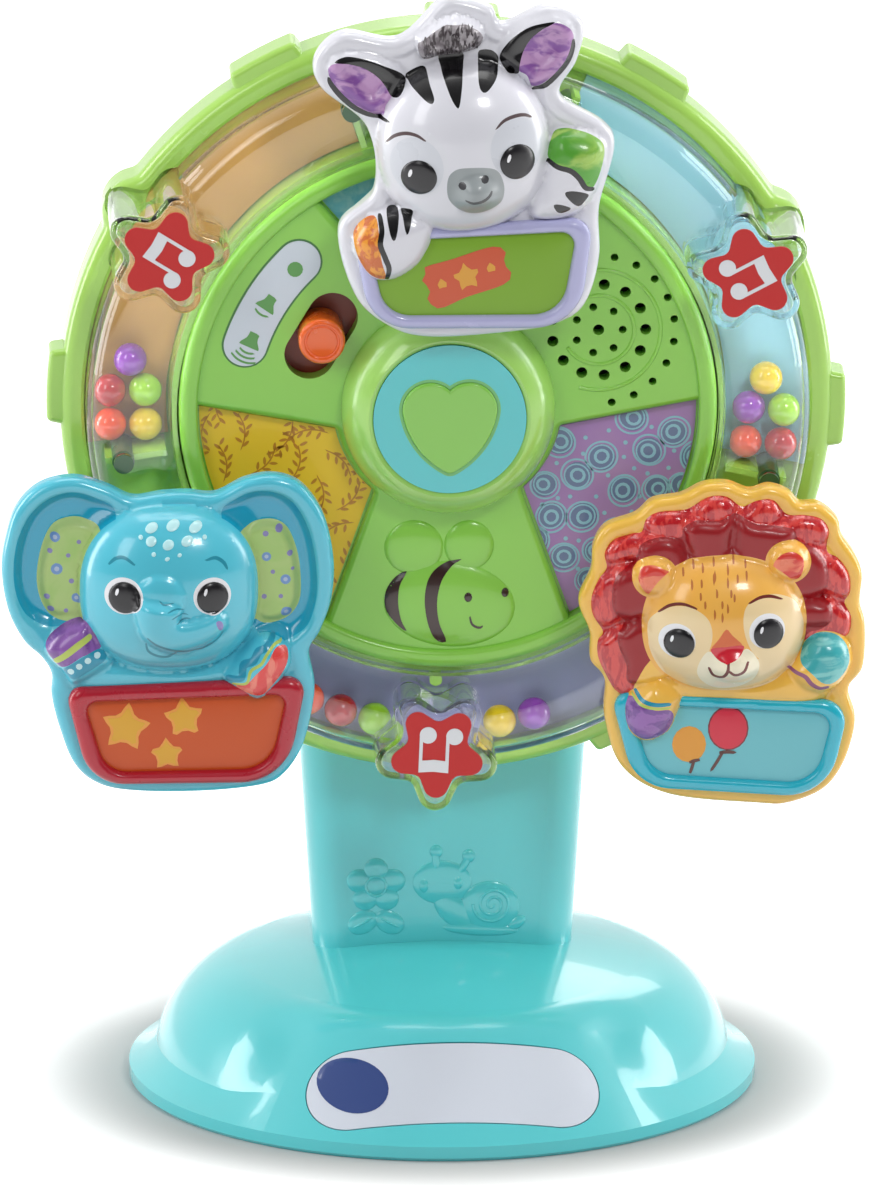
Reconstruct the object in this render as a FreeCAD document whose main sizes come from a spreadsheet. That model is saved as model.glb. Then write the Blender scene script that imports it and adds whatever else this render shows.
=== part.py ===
import FreeCAD, Part
import math
import os
import Sketcher
from FreeCAD import Matrix, Placement, Rotation, Vector

# A tabletop ferris wheel for babies: a domed base with a suction cup carries a column, and the
# column carries a fixed control pod on a hollow axle. A bead filled wheel spins round the pod, and
# three animal gondolas swing on pins in the wheel.
# Lengths are millimetres and angles are degrees. +Z is up and the toy faces -Y. "Forward" is the
# distance ahead of the Y = 0 plane, towards the person who looks at the toy. The origin is the
# middle of the base on the table.

sizeTable = {
    "axisHeight": 185.5,
    # Base
    "flangeRadius": 79.8,
    "flangeEdge": 4.0,
    "domeRadius": 72.8,
    "domeFoot": 9.5,
    "domeTop": 38.0,
    "domeSideRadius": 27.8,
    "shoulderReach": 52.0,
    "shoulderHeight": 31.5,
    "apronTopRadius": 57.5,
    "apronHalfAngle": 37.0,
    "apronBlendAngle": 16.0,
    "standWall": 2.4,
    "seamBehind": 5.0,
    "labelWidth": 74.0,
    "labelHeight": 22.0,
    "labelCorner": 10.9,
    "labelThickness": 0.9,
    "basePlateRadius": 70.0,
    "basePlateThickness": 2.2,
    "basePlateLift": 1.4,
    "cupRadius": 50.0,
    "cupHeight": 8.0,
    "cupStemRadius": 7.0,
    "standScrewReach": 61.0,
    "screwRadius": 1.5,
    "screwHeadRadius": 3.0,
    # Column
    "columnForward": 9.8,
    "columnBehind": 34.0,
    "columnFootWidth": 66.3,
    "columnHeadRadius": 42.4,
    "columnEdge": 9.0,
    "reliefHeight": 0.8,
    # Batteries
    "cellRadius": 7.1,
    "cellLength": 49.5,
    "cellSpacing": 15.2,
    "batteryFloor": 62.0,
    "batteryWall": 1.5,
    "doorGap": 0.35,
    # Axle and bearing
    "axleRadius": 12.0,
    "axleBore": 8.5,
    "axleFlange": 15.5,
    "bearingClearance": 0.06,
    "bushWall": 2.44,
    # Control pod
    "podRadius": 68.0,
    "podBack": 22.0,
    "podWall": 1.6,
    "panelBack": 29.6,
    "panelFloor": 32.0,
    "lobeTop": 35.4,
    "lipTop": 37.2,
    "lipInner": 63.3,
    "lipRound": 2.4,
    "lobeEdge": 1.8,
    "wedgeInnerAngle": 19.5,
    "wedgeOuterAngle": 31.0,
    "hubRadius": 27.1,
    "hubTop": 46.0,
    "hubDiscRadius": 19.3,
    "heartHalfWidth": 12.0,
    "heartGap": 0.35,
    "heartTravel": 2.0,
    "slotReach": 37.4,
    "slotAngle": 149.0,
    "slotRadius": 6.4,
    "slotLength": 11.2,
    "knobRadius": 5.9,
    "knobTop": 41.6,
    "labelArcRadius": 54.0,
    "labelArcWidth": 10.9,
    "sheetThickness": 0.35,
    "speakerAcross": 38.0,
    "speakerUp": 20.0,
    "speakerRadius": 14.0,
    "grilleSmallHole": 1.0,
    "grilleLargeHole": 1.4,
    # Wheel
    "wheelTurn": -2.4,
    "wheelBack": 12.0,
    "wheelFront": 28.0,
    "rimRadius": 97.7,
    "rimInner": 91.7,
    "rimRound": 3.3,
    "ringInner": 68.5,
    "wheelWall": 1.6,
    "trayFloor": 22.8,
    "trayThickness": 1.2,
    "ringCrown": 42.6,
    "ringShoulderRadius": 7.5,
    "lugHeight": 3.4,
    "lugRound": 1.5,
    "bulgeReach": 95.2,
    "bulgeRadius": 9.3,
    "bulgeBlend": 4.0,
    "lugHalfAngle": 6.2,
    "starReach": 84.8,
    "starRadius": 16.0,
    "starValley": 10.4,
    "starTipRound": 4.4,
    "starNeck": 9.9,
    "starNeckTop": 33.6,
    "starTop": 54.5,
    "starWall": 1.6,
    "badgeRadius": 12.0,
    "badgeThickness": 0.5,
    "dividerAngle": 19.5,
    "postReach": 83.0,
    "postRadius": 2.8,
    "beadRadius": 4.25,
    # Gondolas
    "pivotReach": 82.0,
    "pivotPostRadius": 6.5,
    "pivotPostTop": 47.5,
    "pinRadius": 2.5,
    "pinHeadRadius": 4.2,
    "pinClearance": 0.05,
    "gondolaBack": 48.3,
    "backThickness": 2.7,
    "figureThickness": 5.0,
    "frameHeight": 2.8,
    "panelHeight": 1.0,
}

document = FreeCAD.newDocument("FerrisWheel")
sheet = document.addObject("Spreadsheet::Sheet", "Sizes")


def expression(value):
    return value.text if isinstance(value, Size) else f"({float(value):.6f})"


class Size:
    """A number together with the sheet expression that gives it."""

    def __init__(self, value, text):
        self.value = float(value)
        self.text = text

    def __float__(self):
        return self.value

    def join(self, other, sign, result):
        return Size(result, f"({self.text} {sign} {expression(other)})")

    def __add__(self, other):
        return self.join(other, "+", self.value + float(other))

    def __radd__(self, other):
        return self + other

    def __sub__(self, other):
        return self.join(other, "-", self.value - float(other))

    def __rsub__(self, other):
        return -self + other

    def __mul__(self, other):
        return self.join(other, "*", self.value * float(other))

    def __rmul__(self, other):
        return self * other

    def __truediv__(self, other):
        return self.join(other, "/", self.value / float(other))

    def __neg__(self):
        return Size(-self.value, f"(0 - {self.text})")


class SizeBook:
    """The driving sizes by name."""

    def __init__(self, table):
        for row, (name, value) in enumerate(table.items(), start=1):
            sheet.set(f"A{row}", name)
            sheet.set(f"B{row}", str(value))
            sheet.setAlias(f"B{row}", name)
            setattr(self, name, Size(value, f"Sizes.{name}"))


size = SizeBook(sizeTable)
document.recompute()


def cosine(angle):
    return Size(math.cos(math.radians(float(angle))), f"cos({expression(angle)})")


def sine(angle):
    return Size(math.sin(math.radians(float(angle))), f"sin({expression(angle)})")


def polar(reach, angle):
    return cosine(angle) * reach, sine(angle) * reach


def place(thing, x=0, y=0, z=0):
    for axis, value in (("x", x), ("y", y), ("z", z)):
        thing.setExpression(f"Placement.Base.{axis}", expression(value))


class Drawing:
    """A sketch on one of a body's origin planes, with every point tied to the sheet."""

    def __init__(self, piece, role, offset=0, turn=0):
        self.sketch = piece.body.newObject("Sketcher::SketchObject", "drawing")
        self.sketch.AttachmentSupport = [(piece.origin(role), "")]
        self.sketch.MapMode = "FlatFace"
        self.sketch.AttachmentOffset = Placement(Vector(), Rotation(Vector(0, 0, 1), float(turn)))
        self.sketch.setExpression("AttachmentOffset.Base.z", expression(offset))

    def fix(self, geometry, point, x, y):
        for kind, value in (("DistanceX", x), ("DistanceY", y)):
            rule = Sketcher.Constraint(kind, -1, 1, geometry, point, float(value))
            self.bind(rule, value)

    def bind(self, rule, value):
        index = self.sketch.addConstraint(rule)
        self.sketch.setExpression(f"Constraints[{index}]", expression(value))

    def circle(self, x, y, radius):
        centre = Vector(float(x), float(y), 0)
        shape = Part.Circle(centre, Vector(0, 0, 1), float(radius))
        index = self.sketch.addGeometry(shape, False)
        self.fix(index, 3, x, y)
        self.bind(Sketcher.Constraint("Radius", index, float(radius)), radius)
        return self

    def outline(self, points):
        """Close a loop of points (x, y) or (x, y, radius), where a radius makes the edge that
        arrives at the point an arc, turning left when it is positive."""
        ends = []
        for number, point in enumerate(points):
            start = points[number - 1]
            first = Vector(float(start[0]), float(start[1]), 0)
            last = Vector(float(point[0]), float(point[1]), 0)
            if len(point) == 2:
                index = self.sketch.addGeometry(Part.LineSegment(first, last), False)
                ends.append((index, 1, 2))
                continue
            radius = float(point[2])
            index = self.sketch.addGeometry(arcBetween(first, last, radius), False)
            ends.append((index, 1, 2) if radius > 0 else (index, 2, 1))
        for number, (index, start, end) in enumerate(ends):
            before = ends[number - 1]
            joint = Sketcher.Constraint("Coincident", before[0], before[2], index, start)
            self.sketch.addConstraint(joint)
            self.fix(index, end, points[number][0], points[number][1])
        for (index, start, end), point in zip(ends, points):
            if len(point) == 3:
                radius = point[2] if float(point[2]) > 0 else -point[2]
                self.bind(Sketcher.Constraint("Radius", index, float(radius)), radius)
        return self


def arcBetween(first, last, radius):
    """The short arc from first to last, turning left for a positive radius."""
    middle = (first + last) * 0.5
    chord = last - first
    side = Vector(-chord.y, chord.x, 0).normalize()
    depth = math.sqrt(radius * radius - chord.Length ** 2 / 4)
    centre = middle + side * (depth if radius > 0 else -depth)
    ends = (first, last) if radius > 0 else (last, first)
    angles = [math.atan2(end.y - centre.y, end.x - centre.x) for end in ends]
    circle = Part.Circle(centre, Vector(0, 0, 1), abs(radius))
    return Part.ArcOfCircle(circle, angles[0], angles[1])


class Piece:
    """One sub-part as a body whose features are bound to the sheet."""

    def __init__(self, label, x=0, y=0, z=0, turn=None):
        self.body = document.addObject("PartDesign::Body", label)
        self.body.Label = label
        place(self.body, x, y, z)
        if turn is not None:
            self.body.Placement = Placement(Vector(), Rotation(Vector(0, -1, 0), float(turn)))
            self.body.setExpression("Placement.Rotation.Angle", expression(turn))

    def origin(self, role):
        return next(item for item in self.body.Origin.OriginFeatures if item.Role == role)

    def draw(self, role, offset=0, turn=0):
        return Drawing(self, role, offset, turn)

    def feature(self, kind, drawing, **values):
        made = self.body.newObject(f"PartDesign::{kind}", kind.lower())
        made.Profile = drawing.sketch
        for name, value in values.items():
            made.setExpression(name, expression(value))
        return made

    def pad(self, drawing, length):
        return self.feature("Pad", drawing, Length=length)

    def pocket(self, drawing, depth):
        return self.feature("Pocket", drawing, Length=depth)

    def revolve(self, drawing, kind="Revolution"):
        made = self.feature(kind, drawing)
        made.ReferenceAxis = (drawing.sketch, ["V_Axis"])
        made.Angle = 360
        return made

    def repeat(self, features, count, axis="Y_Axis"):
        pattern = self.body.newObject("PartDesign::PolarPattern", "pattern")
        pattern.Originals = features
        pattern.Axis = (self.origin(axis), [""])
        pattern.Angle = 360
        pattern.Occurrences = count
        self.body.Tip = pattern
        return pattern

    def soften(self, chosen, radius):
        """Round the edges that the test picks from the finished shape so far."""
        document.recompute()
        tip = self.body.Tip
        names = [f"Edge{n}" for n, edge in enumerate(tip.Shape.Edges, start=1) if chosen(edge)]
        rounded = self.body.newObject("PartDesign::Fillet", "fillet")
        rounded.Base = (tip, names)
        rounded.setExpression("Radius", expression(radius))
        rounded.Refine = False
        return rounded


def wheelPiece(label, turn=None):
    """A piece on the wheel axis: its XZ plane is square to the axis, at Y = 0."""
    return Piece(label, z=size.axisHeight, turn=turn)


def turned(label, profile, turn=None):
    """A ring or disc round the wheel axis, from points (radius, forward)."""
    piece = wheelPiece(label, turn)
    flipped = [(p[0], -p[1]) if len(p) == 2 else (p[0], -p[1], -p[2]) for p in profile]
    piece.revolve(piece.draw("XY_Plane").outline(flipped))
    return piece


def upright(label, profile):
    """A disc round the vertical axis, from points (radius, height)."""
    piece = Piece(label)
    piece.revolve(piece.draw("XZ_Plane").outline(profile))
    return piece


def group(label, shapes):
    made = document.addObject("Part::Feature", label)
    made.Label = label
    made.Shape = Part.makeCompound(shapes) if len(shapes) > 1 else shapes[0]
    return made


def boolean(kind, label, base, tools):
    """A Part cut or fusion of finished objects."""
    made = document.addObject(f"Part::{kind}", label)
    made.Label = label
    if kind == "Cut":
        made.Base = base
        made.Tool = tools
    else:
        made.Shapes = [base] + tools
    return made


# Plain shapes, for the pieces that neither sketches nor primitives suit

def forwardPoint(across, up, forward):
    """A point given from the wheel axis: across, up and forward."""
    return Vector(float(across), -float(forward), float(size.axisHeight) + float(up))


def rod(across, up, back, front, radius):
    length = float(front) - float(back)
    return Part.makeCylinder(float(radius), length, forwardPoint(across, up, back), Vector(0, -1, 0))


def column(x, y, low, high, radius):
    return Part.makeCylinder(float(radius), float(high) - float(low), Vector(x, y, float(low)))


def prism(wire, back, front):
    """Fill a wire drawn in the XZ plane round the wheel axis and give it thickness."""
    face = Part.Face(wire)
    face.translate(Vector(0, -float(back), float(size.axisHeight)))
    return face.extrude(Vector(0, float(back) - float(front), 0))


def flat(across, up):
    return Vector(float(across), 0, float(up))


def roundedLoop(points, radii):
    """A closed wire in the XZ plane through the corners, each one rounded."""
    if not isinstance(radii, (list, tuple)):
        radii = [radii] * len(points)
    corners = [flat(*point) for point in points]
    arcs = []
    for number, corner in enumerate(corners):
        before = (corners[number - 1] - corner).normalize()
        after = (corners[(number + 1) % len(corners)] - corner).normalize()
        half = before.getAngle(after) / 2
        reach = float(radii[number]) / math.tan(half)
        middle = (before + after).normalize()
        depth = float(radii[number]) / math.sin(half) - float(radii[number])
        arcs.append((corner + before * reach, corner + middle * depth, corner + after * reach))
    edges = []
    for number, arc in enumerate(arcs):
        edges.append(Part.Arc(*arc).toShape())
        edges.append(Part.LineSegment(arc[2], arcs[(number + 1) % len(arcs)][0]).toShape())
    return Part.Wire(edges)


def smoothLoop(points):
    curve = Part.BSplineCurve()
    curve.interpolate(Points=[flat(*point) for point in points], PeriodicFlag=True)
    return Part.Wire([curve.toShape()])


def bump(across, up, forward, halfWidth, halfHeight, rise, lean=0):
    """Half an ellipsoid that stands forward of a flat face."""
    shape = Part.makeSphere(1, Vector(), Vector(0, 0, 1), 0, 90, 360)
    scale = Matrix()
    scale.A11, scale.A22, scale.A33 = halfWidth, halfHeight, rise
    shape = shape.transformGeometry(scale)
    shape.rotate(Vector(), Vector(0, 0, 1), lean)
    shape.rotate(Vector(), Vector(1, 0, 0), 90)
    shape.translate(Vector(across, -float(forward), up))
    return shape


def ridge(across, up, forward, reach, thick, start, end):
    """Part of a ring that stands half out of a flat face."""
    ring = Part.makeTorus(reach, thick, Vector(), Vector(0, 0, 1), -180, 180, end - start)
    ring.rotate(Vector(), Vector(0, 0, 1), start)
    ring.rotate(Vector(), Vector(1, 0, 0), 90)
    ring.translate(Vector(across, -float(forward), up))
    return ring


def starPoints(tip, valley, turn=0):
    points = []
    for step in range(10):
        reach = float(tip) if step % 2 == 0 else float(valley)
        angle = math.radians(turn + 36 * step)
        points.append((reach * math.cos(angle), reach * math.sin(angle)))
    return points


def rotated(shape, angle):
    """A copy turned about the wheel axis, counterclockwise as seen from the front."""
    copy = shape.copy()
    copy.rotate(Vector(0, 0, float(size.axisHeight)), Vector(0, -1, 0), float(angle))
    return copy


starAngles = [30 + float(size.wheelTurn) + 120 * n for n in range(3)]
gondolaAngles = [90 + float(size.wheelTurn) + 120 * n for n in range(3)]


# Stand: domed base and column, moulded as a front and a back shell

apronFoot = (float(size.flangeRadius) - 1.2, float(size.flangeEdge) + 1.4)


def crownHeight(radius):
    """Height of the flat crown of the dome at a radius."""
    drop = float(size.domeTop) - float(size.shoulderHeight)
    crownRadius = (float(size.shoulderReach) ** 2 + drop ** 2) / (2 * drop)
    return float(size.domeTop) - crownRadius + math.sqrt(crownRadius ** 2 - radius ** 2)


def domeSection(apron):
    """Half section of the base from its core out to the flange. apron is 1 where the front apron
    replaces the bulge of the dome by a straight slope, and 0 elsewhere. The column fills the core."""
    core = float(size.columnForward) - 3
    shoulder = Vector(float(size.shoulderReach), 0, float(size.shoulderHeight))
    foot = Vector(float(size.domeRadius), 0, float(size.domeFoot))
    side = arcBetween(Vector(shoulder.x, shoulder.z, 0), Vector(foot.x, foot.z, 0), -float(size.domeSideRadius))
    low, high = side.FirstParameter, side.LastParameter
    edge = Vector(float(size.flangeRadius), 0, float(size.flangeEdge))
    apronTop = Vector(float(size.apronTopRadius), 0, 0)
    apronTop.z = pointOnSide(side, apronTop.x)
    points = [shoulder]
    for step in (0.8, 0.6, 0.4, 0.2):
        bulge = side.value(low + (high - low) * step)
        bulge = Vector(bulge.x, 0, bulge.y)
        slope = slopeHeight(bulge.x, apronTop)
        points.append(Vector(bulge.x, 0, bulge.z + (slope - bulge.z) * apron))
    points.append(Vector(foot.x, 0, foot.z + (slopeHeight(foot.x, apronTop) - foot.z) * apron))
    skin = Part.BSplineCurve()
    skin.interpolate(points)
    middle = Vector((foot.x + edge.x) / 2, 0, 0)
    middle.z = (foot.z + edge.z) / 2 - 0.5
    middle.z += (slopeHeight(middle.x, apronTop) - middle.z) * apron
    brim = Part.Arc(points[-1], middle, edge).toShape()
    crown = Part.Arc(Vector(core, 0, crownHeight(core)),
                     Vector((core + shoulder.x) / 2, 0, crownHeight((core + shoulder.x) / 2)),
                     shoulder).toShape()
    chain = [
        Part.LineSegment(Vector(core, 0, 0), Vector(core, 0, crownHeight(core))).toShape(),
        crown, skin.toShape(), brim,
        Part.LineSegment(edge, Vector(edge.x, 0, 1)).toShape(),
        Part.LineSegment(Vector(edge.x, 0, 1), Vector(edge.x - 1, 0, 0)).toShape(),
        Part.LineSegment(Vector(edge.x - 1, 0, 0), Vector(core, 0, 0)).toShape(),
    ]
    return Part.Wire(chain)


def pointOnSide(side, radius):
    """Height of the dome's side arc at a radius."""
    centre = side.Center
    return centre.y + math.sqrt(side.Radius ** 2 - (radius - centre.x) ** 2)


def slopeHeight(radius, top):
    share = (radius - top.x) / (apronFoot[0] - top.x)
    if share < 0:
        return pointOnSideAbove(radius, top, share)
    return top.z + (apronFoot[1] - top.z) * share


def pointOnSideAbove(radius, top, share):
    """Above the apron the dome keeps its own height, eased into the slope."""
    shoulder = float(size.shoulderReach)
    ease = (radius - shoulder) / (top.x - shoulder)
    return float(size.shoulderHeight) + (top.z - float(size.shoulderHeight)) * ease


def domeForm():
    """The whole base, sewn from the front apron, the plain dome and the blends between them."""
    half = float(size.apronHalfAngle)
    blend = float(size.apronBlendAngle)
    upAxis = Vector(0, 0, 1)

    def section(apron, angle):
        wire = domeSection(apron)
        wire.rotate(Vector(), upAxis, angle - 90)
        return wire

    skins = [section(1, -half).revolve(Vector(), upAxis, 2 * half),
             section(0, half + blend).revolve(Vector(), upAxis, 360 - 2 * (half + blend))]
    for side in (-1, 1):
        steps = []
        for step in range(5):
            share = step / 4
            ease = share * share * (3 - 2 * share)
            steps.append(section(1 - ease, side * (half + blend * share)))
        skins.append(Part.makeLoft(steps, False, False))
    form = Part.makeCompound([face for skin in skins for face in skin.Faces])
    form.sewShape(0.0001)
    return Part.Solid(form.Shells[0])


def domeHollow():
    wall = float(size.standWall)
    seat = float(size.basePlateLift + size.basePlateThickness) + 0.2
    inner = float(size.domeRadius) - 6.3
    shoulder = float(size.shoulderReach) + 2
    top = float(size.domeTop) - wall
    reach = float(size.basePlateRadius) + 0.2
    corners = [(0, -1), (reach, -1), (reach, seat), (inner, seat), (inner, float(size.domeFoot) + 2.5),
               (shoulder, float(size.shoulderHeight) - 5), (shoulder * 0.5, top - 2), (0, top)]
    wire = Part.makePolygon([Vector(r, 0, z) for r, z in corners + corners[:1]])
    return Part.Face(wire).revolve(Vector(), Vector(0, 0, 1), 360)


def columnOutline(inset, foot):
    """Front view of the column: two straight sides that spread upwards, tangent to a round head."""
    head = float(size.columnHeadRadius)
    centre = Vector(0, 0, float(size.axisHeight))
    corner = Vector(float(size.columnFootWidth) / 2, 0, float(size.domeTop))
    toCorner = corner - centre
    swing = math.acos(head / toCorner.Length)
    start = math.atan2(toCorner.z, toCorner.x) + swing
    touch = Vector(math.cos(start), 0, math.sin(start))
    along = Vector(touch.z, 0, -touch.x)
    if along.z > 0:
        along = -along
    rightTop = centre + touch * (head - inset)
    run = (rightTop.z - foot) / -along.z
    rightFoot = rightTop + along * run
    mirror = lambda point: Vector(-point.x, point.y, point.z)
    top = centre + Vector(0, 0, head - inset)
    return Part.Wire([
        Part.LineSegment(rightFoot, rightTop).toShape(),
        Part.Arc(rightTop, top, mirror(rightTop)).toShape(),
        Part.LineSegment(mirror(rightTop), mirror(rightFoot)).toShape(),
        Part.LineSegment(mirror(rightFoot), rightFoot).toShape(),
    ])


def columnForm(inset, foot):
    front = float(size.columnForward) - inset
    behind = float(size.columnBehind) - inset
    face = Part.Face(columnOutline(inset, foot))
    face.translate(Vector(0, -front, 0))
    solid = face.extrude(Vector(0, front + behind, 0))
    edges = [edge for edge in solid.Edges if abs(edge.BoundBox.YLength) < 0.01 and edge.BoundBox.ZMax > foot + 1]
    return solid.makeFillet(float(size.columnEdge) - inset, edges)


def batteryBay():
    """Outer corners of the battery box: low and high."""
    wall = float(size.batteryWall)
    halfWidth = float(size.cellSpacing) / 2 + float(size.cellRadius) + 1.2 + wall
    low = float(size.batteryFloor)
    high = low + 2 * wall + float(size.cellLength) + 7.5
    back = float(size.columnBehind) - float(size.standWall)
    front = back - 2 * float(size.cellRadius) - 1.6 - wall
    return Vector(-halfWidth, front, low), Vector(halfWidth, back, high)


def block(low, high):
    return Part.makeBox(high.x - low.x, high.y - low.y, high.z - low.z, low)


bayLow, bayHigh = batteryBay()
bossHeight = float(size.basePlateLift + size.basePlateThickness) + 0.2


def standShell():
    foot = float(size.domeTop) - 8
    outer = domeForm().fuse(columnForm(0, foot))
    hollow = domeHollow().fuse(columnForm(float(size.standWall), foot - 20))
    shell = outer.cut(hollow)
    collar = rod(0, 0, 0.2 - float(size.seamBehind), float(size.columnForward) - 1, float(size.axleFlange) + 1.5)
    shell = shell.fuse(collar)
    shell = shell.cut(rod(0, 0, -30, float(size.columnForward) + 1, size.axleRadius))
    for x, y in standScrewPlaces():
        post = column(x, y, bossHeight, float(size.domeFoot) + 14, float(size.screwRadius) + 2.6)
        shell = shell.fuse(post.common(domeForm()))
        shell = shell.cut(column(x, y, 0, bossHeight + 9, float(size.screwRadius)))
    return shell


def standScrewPlaces():
    reach = float(size.standScrewReach)
    places = []
    for angle in (45, 135, 225, 315):
        places.append((reach * math.cos(math.radians(angle)), reach * math.sin(math.radians(angle))))
    return places


def labelFrame(shape):
    """Carry a shape from the XY plane to the middle of the sloping label on the apron."""
    top = pointOnSide(sideArc(), float(size.apronTopRadius))
    rise = top - apronFoot[1]
    run = apronFoot[0] - float(size.apronTopRadius)
    slope = math.degrees(math.atan2(rise, run))
    middle = Vector(0, -(float(size.apronTopRadius) + apronFoot[0]) / 2, (top + apronFoot[1]) / 2)
    shape.rotate(Vector(), Vector(1, 0, 0), slope)
    shape.translate(middle)
    return shape


def sideArc():
    return arcBetween(Vector(float(size.shoulderReach), float(size.shoulderHeight), 0),
                      Vector(float(size.domeRadius), float(size.domeFoot), 0), -float(size.domeSideRadius))


def capsule(width, height, corner, low, high):
    loop = roundedLoop([(-width / 2, -height / 2), (width / 2, -height / 2),
                        (width / 2, height / 2), (-width / 2, height / 2)], corner)
    loop.rotate(Vector(), Vector(1, 0, 0), -90)
    face = Part.Face(loop)
    face.translate(Vector(0, 0, low))
    return labelFrame(face.extrude(Vector(0, 0, high - low)))


def apronSkin(low, high):
    """A cone shell that follows the apron, between two heights above its surface."""
    top = pointOnSide(sideArc(), float(size.apronTopRadius))
    a = Vector(float(size.apronTopRadius), 0, top)
    b = Vector(apronFoot[0], 0, apronFoot[1])
    along = (b - a).normalize()
    out = Vector(-along.z, 0, along.x)
    corners = [a - along * 2 + out * low, b + along * 2 + out * low,
               b + along * 2 + out * high, a - along * 2 + out * high]
    wire = Part.makePolygon(corners + corners[:1])
    wire.rotate(Vector(), Vector(0, 0, 1), -90 - 50)
    return Part.Face(wire).revolve(Vector(), Vector(0, 0, 1), 100)


def petals(across, up):
    """Shallow flower with two leaves on the column."""
    rise = float(size.reliefHeight)
    shapes = [bump(across, up, 0, 3.2, 3.2, rise), ridge(across, up, rise * 0.6, 2.6, 0.4, 0, 360)]
    for step in range(5):
        angle = math.radians(90 + 72 * step)
        shapes.append(bump(across + 4.6 * math.cos(angle), up + 4.2 * math.sin(angle), 0, 3.1, 3.1, rise))
    for side, lean in ((-1, 28), (1, -28)):
        shapes.append(bump(across + side * 3.4, up - 9.7, 0, 4.0, 3.0, rise, lean))
        shapes.append(bump(across + side * 3.4, up - 9.7, 0, 3.3, 0.5, rise + 0.3, lean))
    return shapes


def snail(across, up):
    """Shallow snail on the column: head with feelers and cheeks, body, and a shell with a spiral."""
    rise = float(size.reliefHeight)
    shapes = [bump(across - 0.4, up + 3.3, 0, 7.5, 5.8, rise), bump(across + 11.8, up - 3.3, 0, 7.5, 6.8, rise * 1.4)]
    shapes.append(bump(across + 2.8, up - 4.4, 0, 6.4, 3.6, rise, -42))
    shapes.append(bump(across + 9.4, up - 9.2, 0, 9.6, 1.7, rise, -3))
    shapes.append(bump(across + 18.6, up - 7.6, 0, 2.6, 1.5, rise, 35))
    for x, y, lean in ((-2.0, 9.0, 4), (5.3, 7.9, -28)):
        shapes.append(bump(across + x, up + y, 0, 1.0, 2.9, rise, lean))
    for x, y in ((-1.9, 11.5), (6.4, 10.2)):
        shapes.append(bump(across + x, up + y, 0, 1.7, 1.7, rise))
    for x, y in ((-5.0, 2.6), (3.6, 3.2)):
        shapes.append(bump(across + x, up + y, 0, 1.4, 2.0, rise + 0.35))
    for turn, reach in enumerate((0.9, 1.8, 2.7, 3.6, 4.5)):
        side = 0.45 if turn % 2 else -0.45
        start = 0 if turn % 2 else 180
        shapes.append(ridge(across + 12.4 + side, up - 2.4, rise * 1.05, reach, 0.42, start, start + 180))
    return shapes


def carryRelief(shapes):
    """Move reliefs drawn on the Y = 0 plane to the front face of the column."""
    for shape in shapes:
        shape.translate(Vector(0, -float(size.columnForward) + 0.02, 0))
    return shapes


def standHalves():
    shell = standShell()
    seam = float(size.seamBehind)
    reach = float(size.flangeRadius) + 20
    tall = float(size.axisHeight) + 80
    frontHalf = shell.common(Part.makeBox(2 * reach, reach + seam, tall, Vector(-reach, -reach, -1)))
    backHalf = shell.common(Part.makeBox(2 * reach, reach, tall, Vector(-reach, seam, -1)))
    width, height = float(size.labelWidth), float(size.labelHeight)
    corner = float(size.labelCorner)
    cutter = capsule(width + 0.6, height + 0.6, corner + 0.3, -20, 20)
    recess = apronSkin(-float(size.labelThickness) - 0.1, 6).common(cutter)
    frontHalf = frontHalf.cut(recess)
    frontHalf = frontHalf.multiFuse(carryRelief(petals(-17.2, 52.6) + snail(0, 50)))
    gap = float(size.doorGap)
    opening = block(Vector(bayLow.x - gap, bayHigh.y - 1, bayLow.z - gap),
                    Vector(bayHigh.x + gap, bayHigh.y + 6, bayHigh.z + 9 + gap))
    backHalf = backHalf.cut(opening)
    group("stand_front", [frontHalf])
    group("stand_back", [backHalf])
    label = apronSkin(-float(size.labelThickness), 0).common(capsule(width, height, corner, -20, 20))
    group("label_plate", [label])


def baseParts():
    lift = size.basePlateLift
    thick = size.basePlateThickness
    bore = size.cupStemRadius + 0.2
    pan = size.cupHeight + 1
    upright("base_plate", [
        (bore, pan), (size.cupRadius - 6, pan), (size.cupRadius + 3, lift), (size.basePlateRadius, lift),
        (size.basePlateRadius, lift + thick), (size.cupRadius + 4.4, lift + thick),
        (size.cupRadius - 4.6, pan + thick), (bore, pan + thick),
    ])
    upright("suction_cup", [
        (0, 0), (size.cupRadius, 0), (size.cupRadius, 1), (size.cupRadius - 10, 3),
        (size.cupStemRadius + 7, size.cupHeight), (size.cupStemRadius, size.cupHeight + 0.8),
        (size.cupStemRadius, pan + thick + 4), (0, pan + thick + 4),
    ])
    upright("cup_clip", [
        (size.cupStemRadius + 0.05, pan + thick + 0.1), (size.cupStemRadius + 7, pan + thick + 0.1),
        (size.cupStemRadius + 7, pan + thick + 1.6), (size.cupStemRadius + 0.05, pan + thick + 1.6),
    ])
    shapes = []
    for x, y in standScrewPlaces():
        head = column(x, y, 0.1, lift, size.screwHeadRadius)
        shapes.append(head.fuse(column(x, y, lift, bossHeight + 8, size.screwRadius)))
    group("stand_screws", shapes)


def drillBasePlate():
    """The screws pass through the base plate."""
    plate = document.getObject("base_plate")
    plate.Label = "base_plate_blank"
    holes = []
    for x, y in standScrewPlaces():
        hole = document.addObject("Part::Cylinder", "plate_hole")
        hole.setExpression("Radius", expression(size.screwRadius + 0.05))
        hole.Height = 40
        hole.Placement = Placement(Vector(x, y, -10), Rotation())
        holes.append(hole)
    joined = document.addObject("Part::MultiFuse", "plate_holes")
    joined.Shapes = holes
    boolean("Cut", "base_plate", plate, joined)


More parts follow.
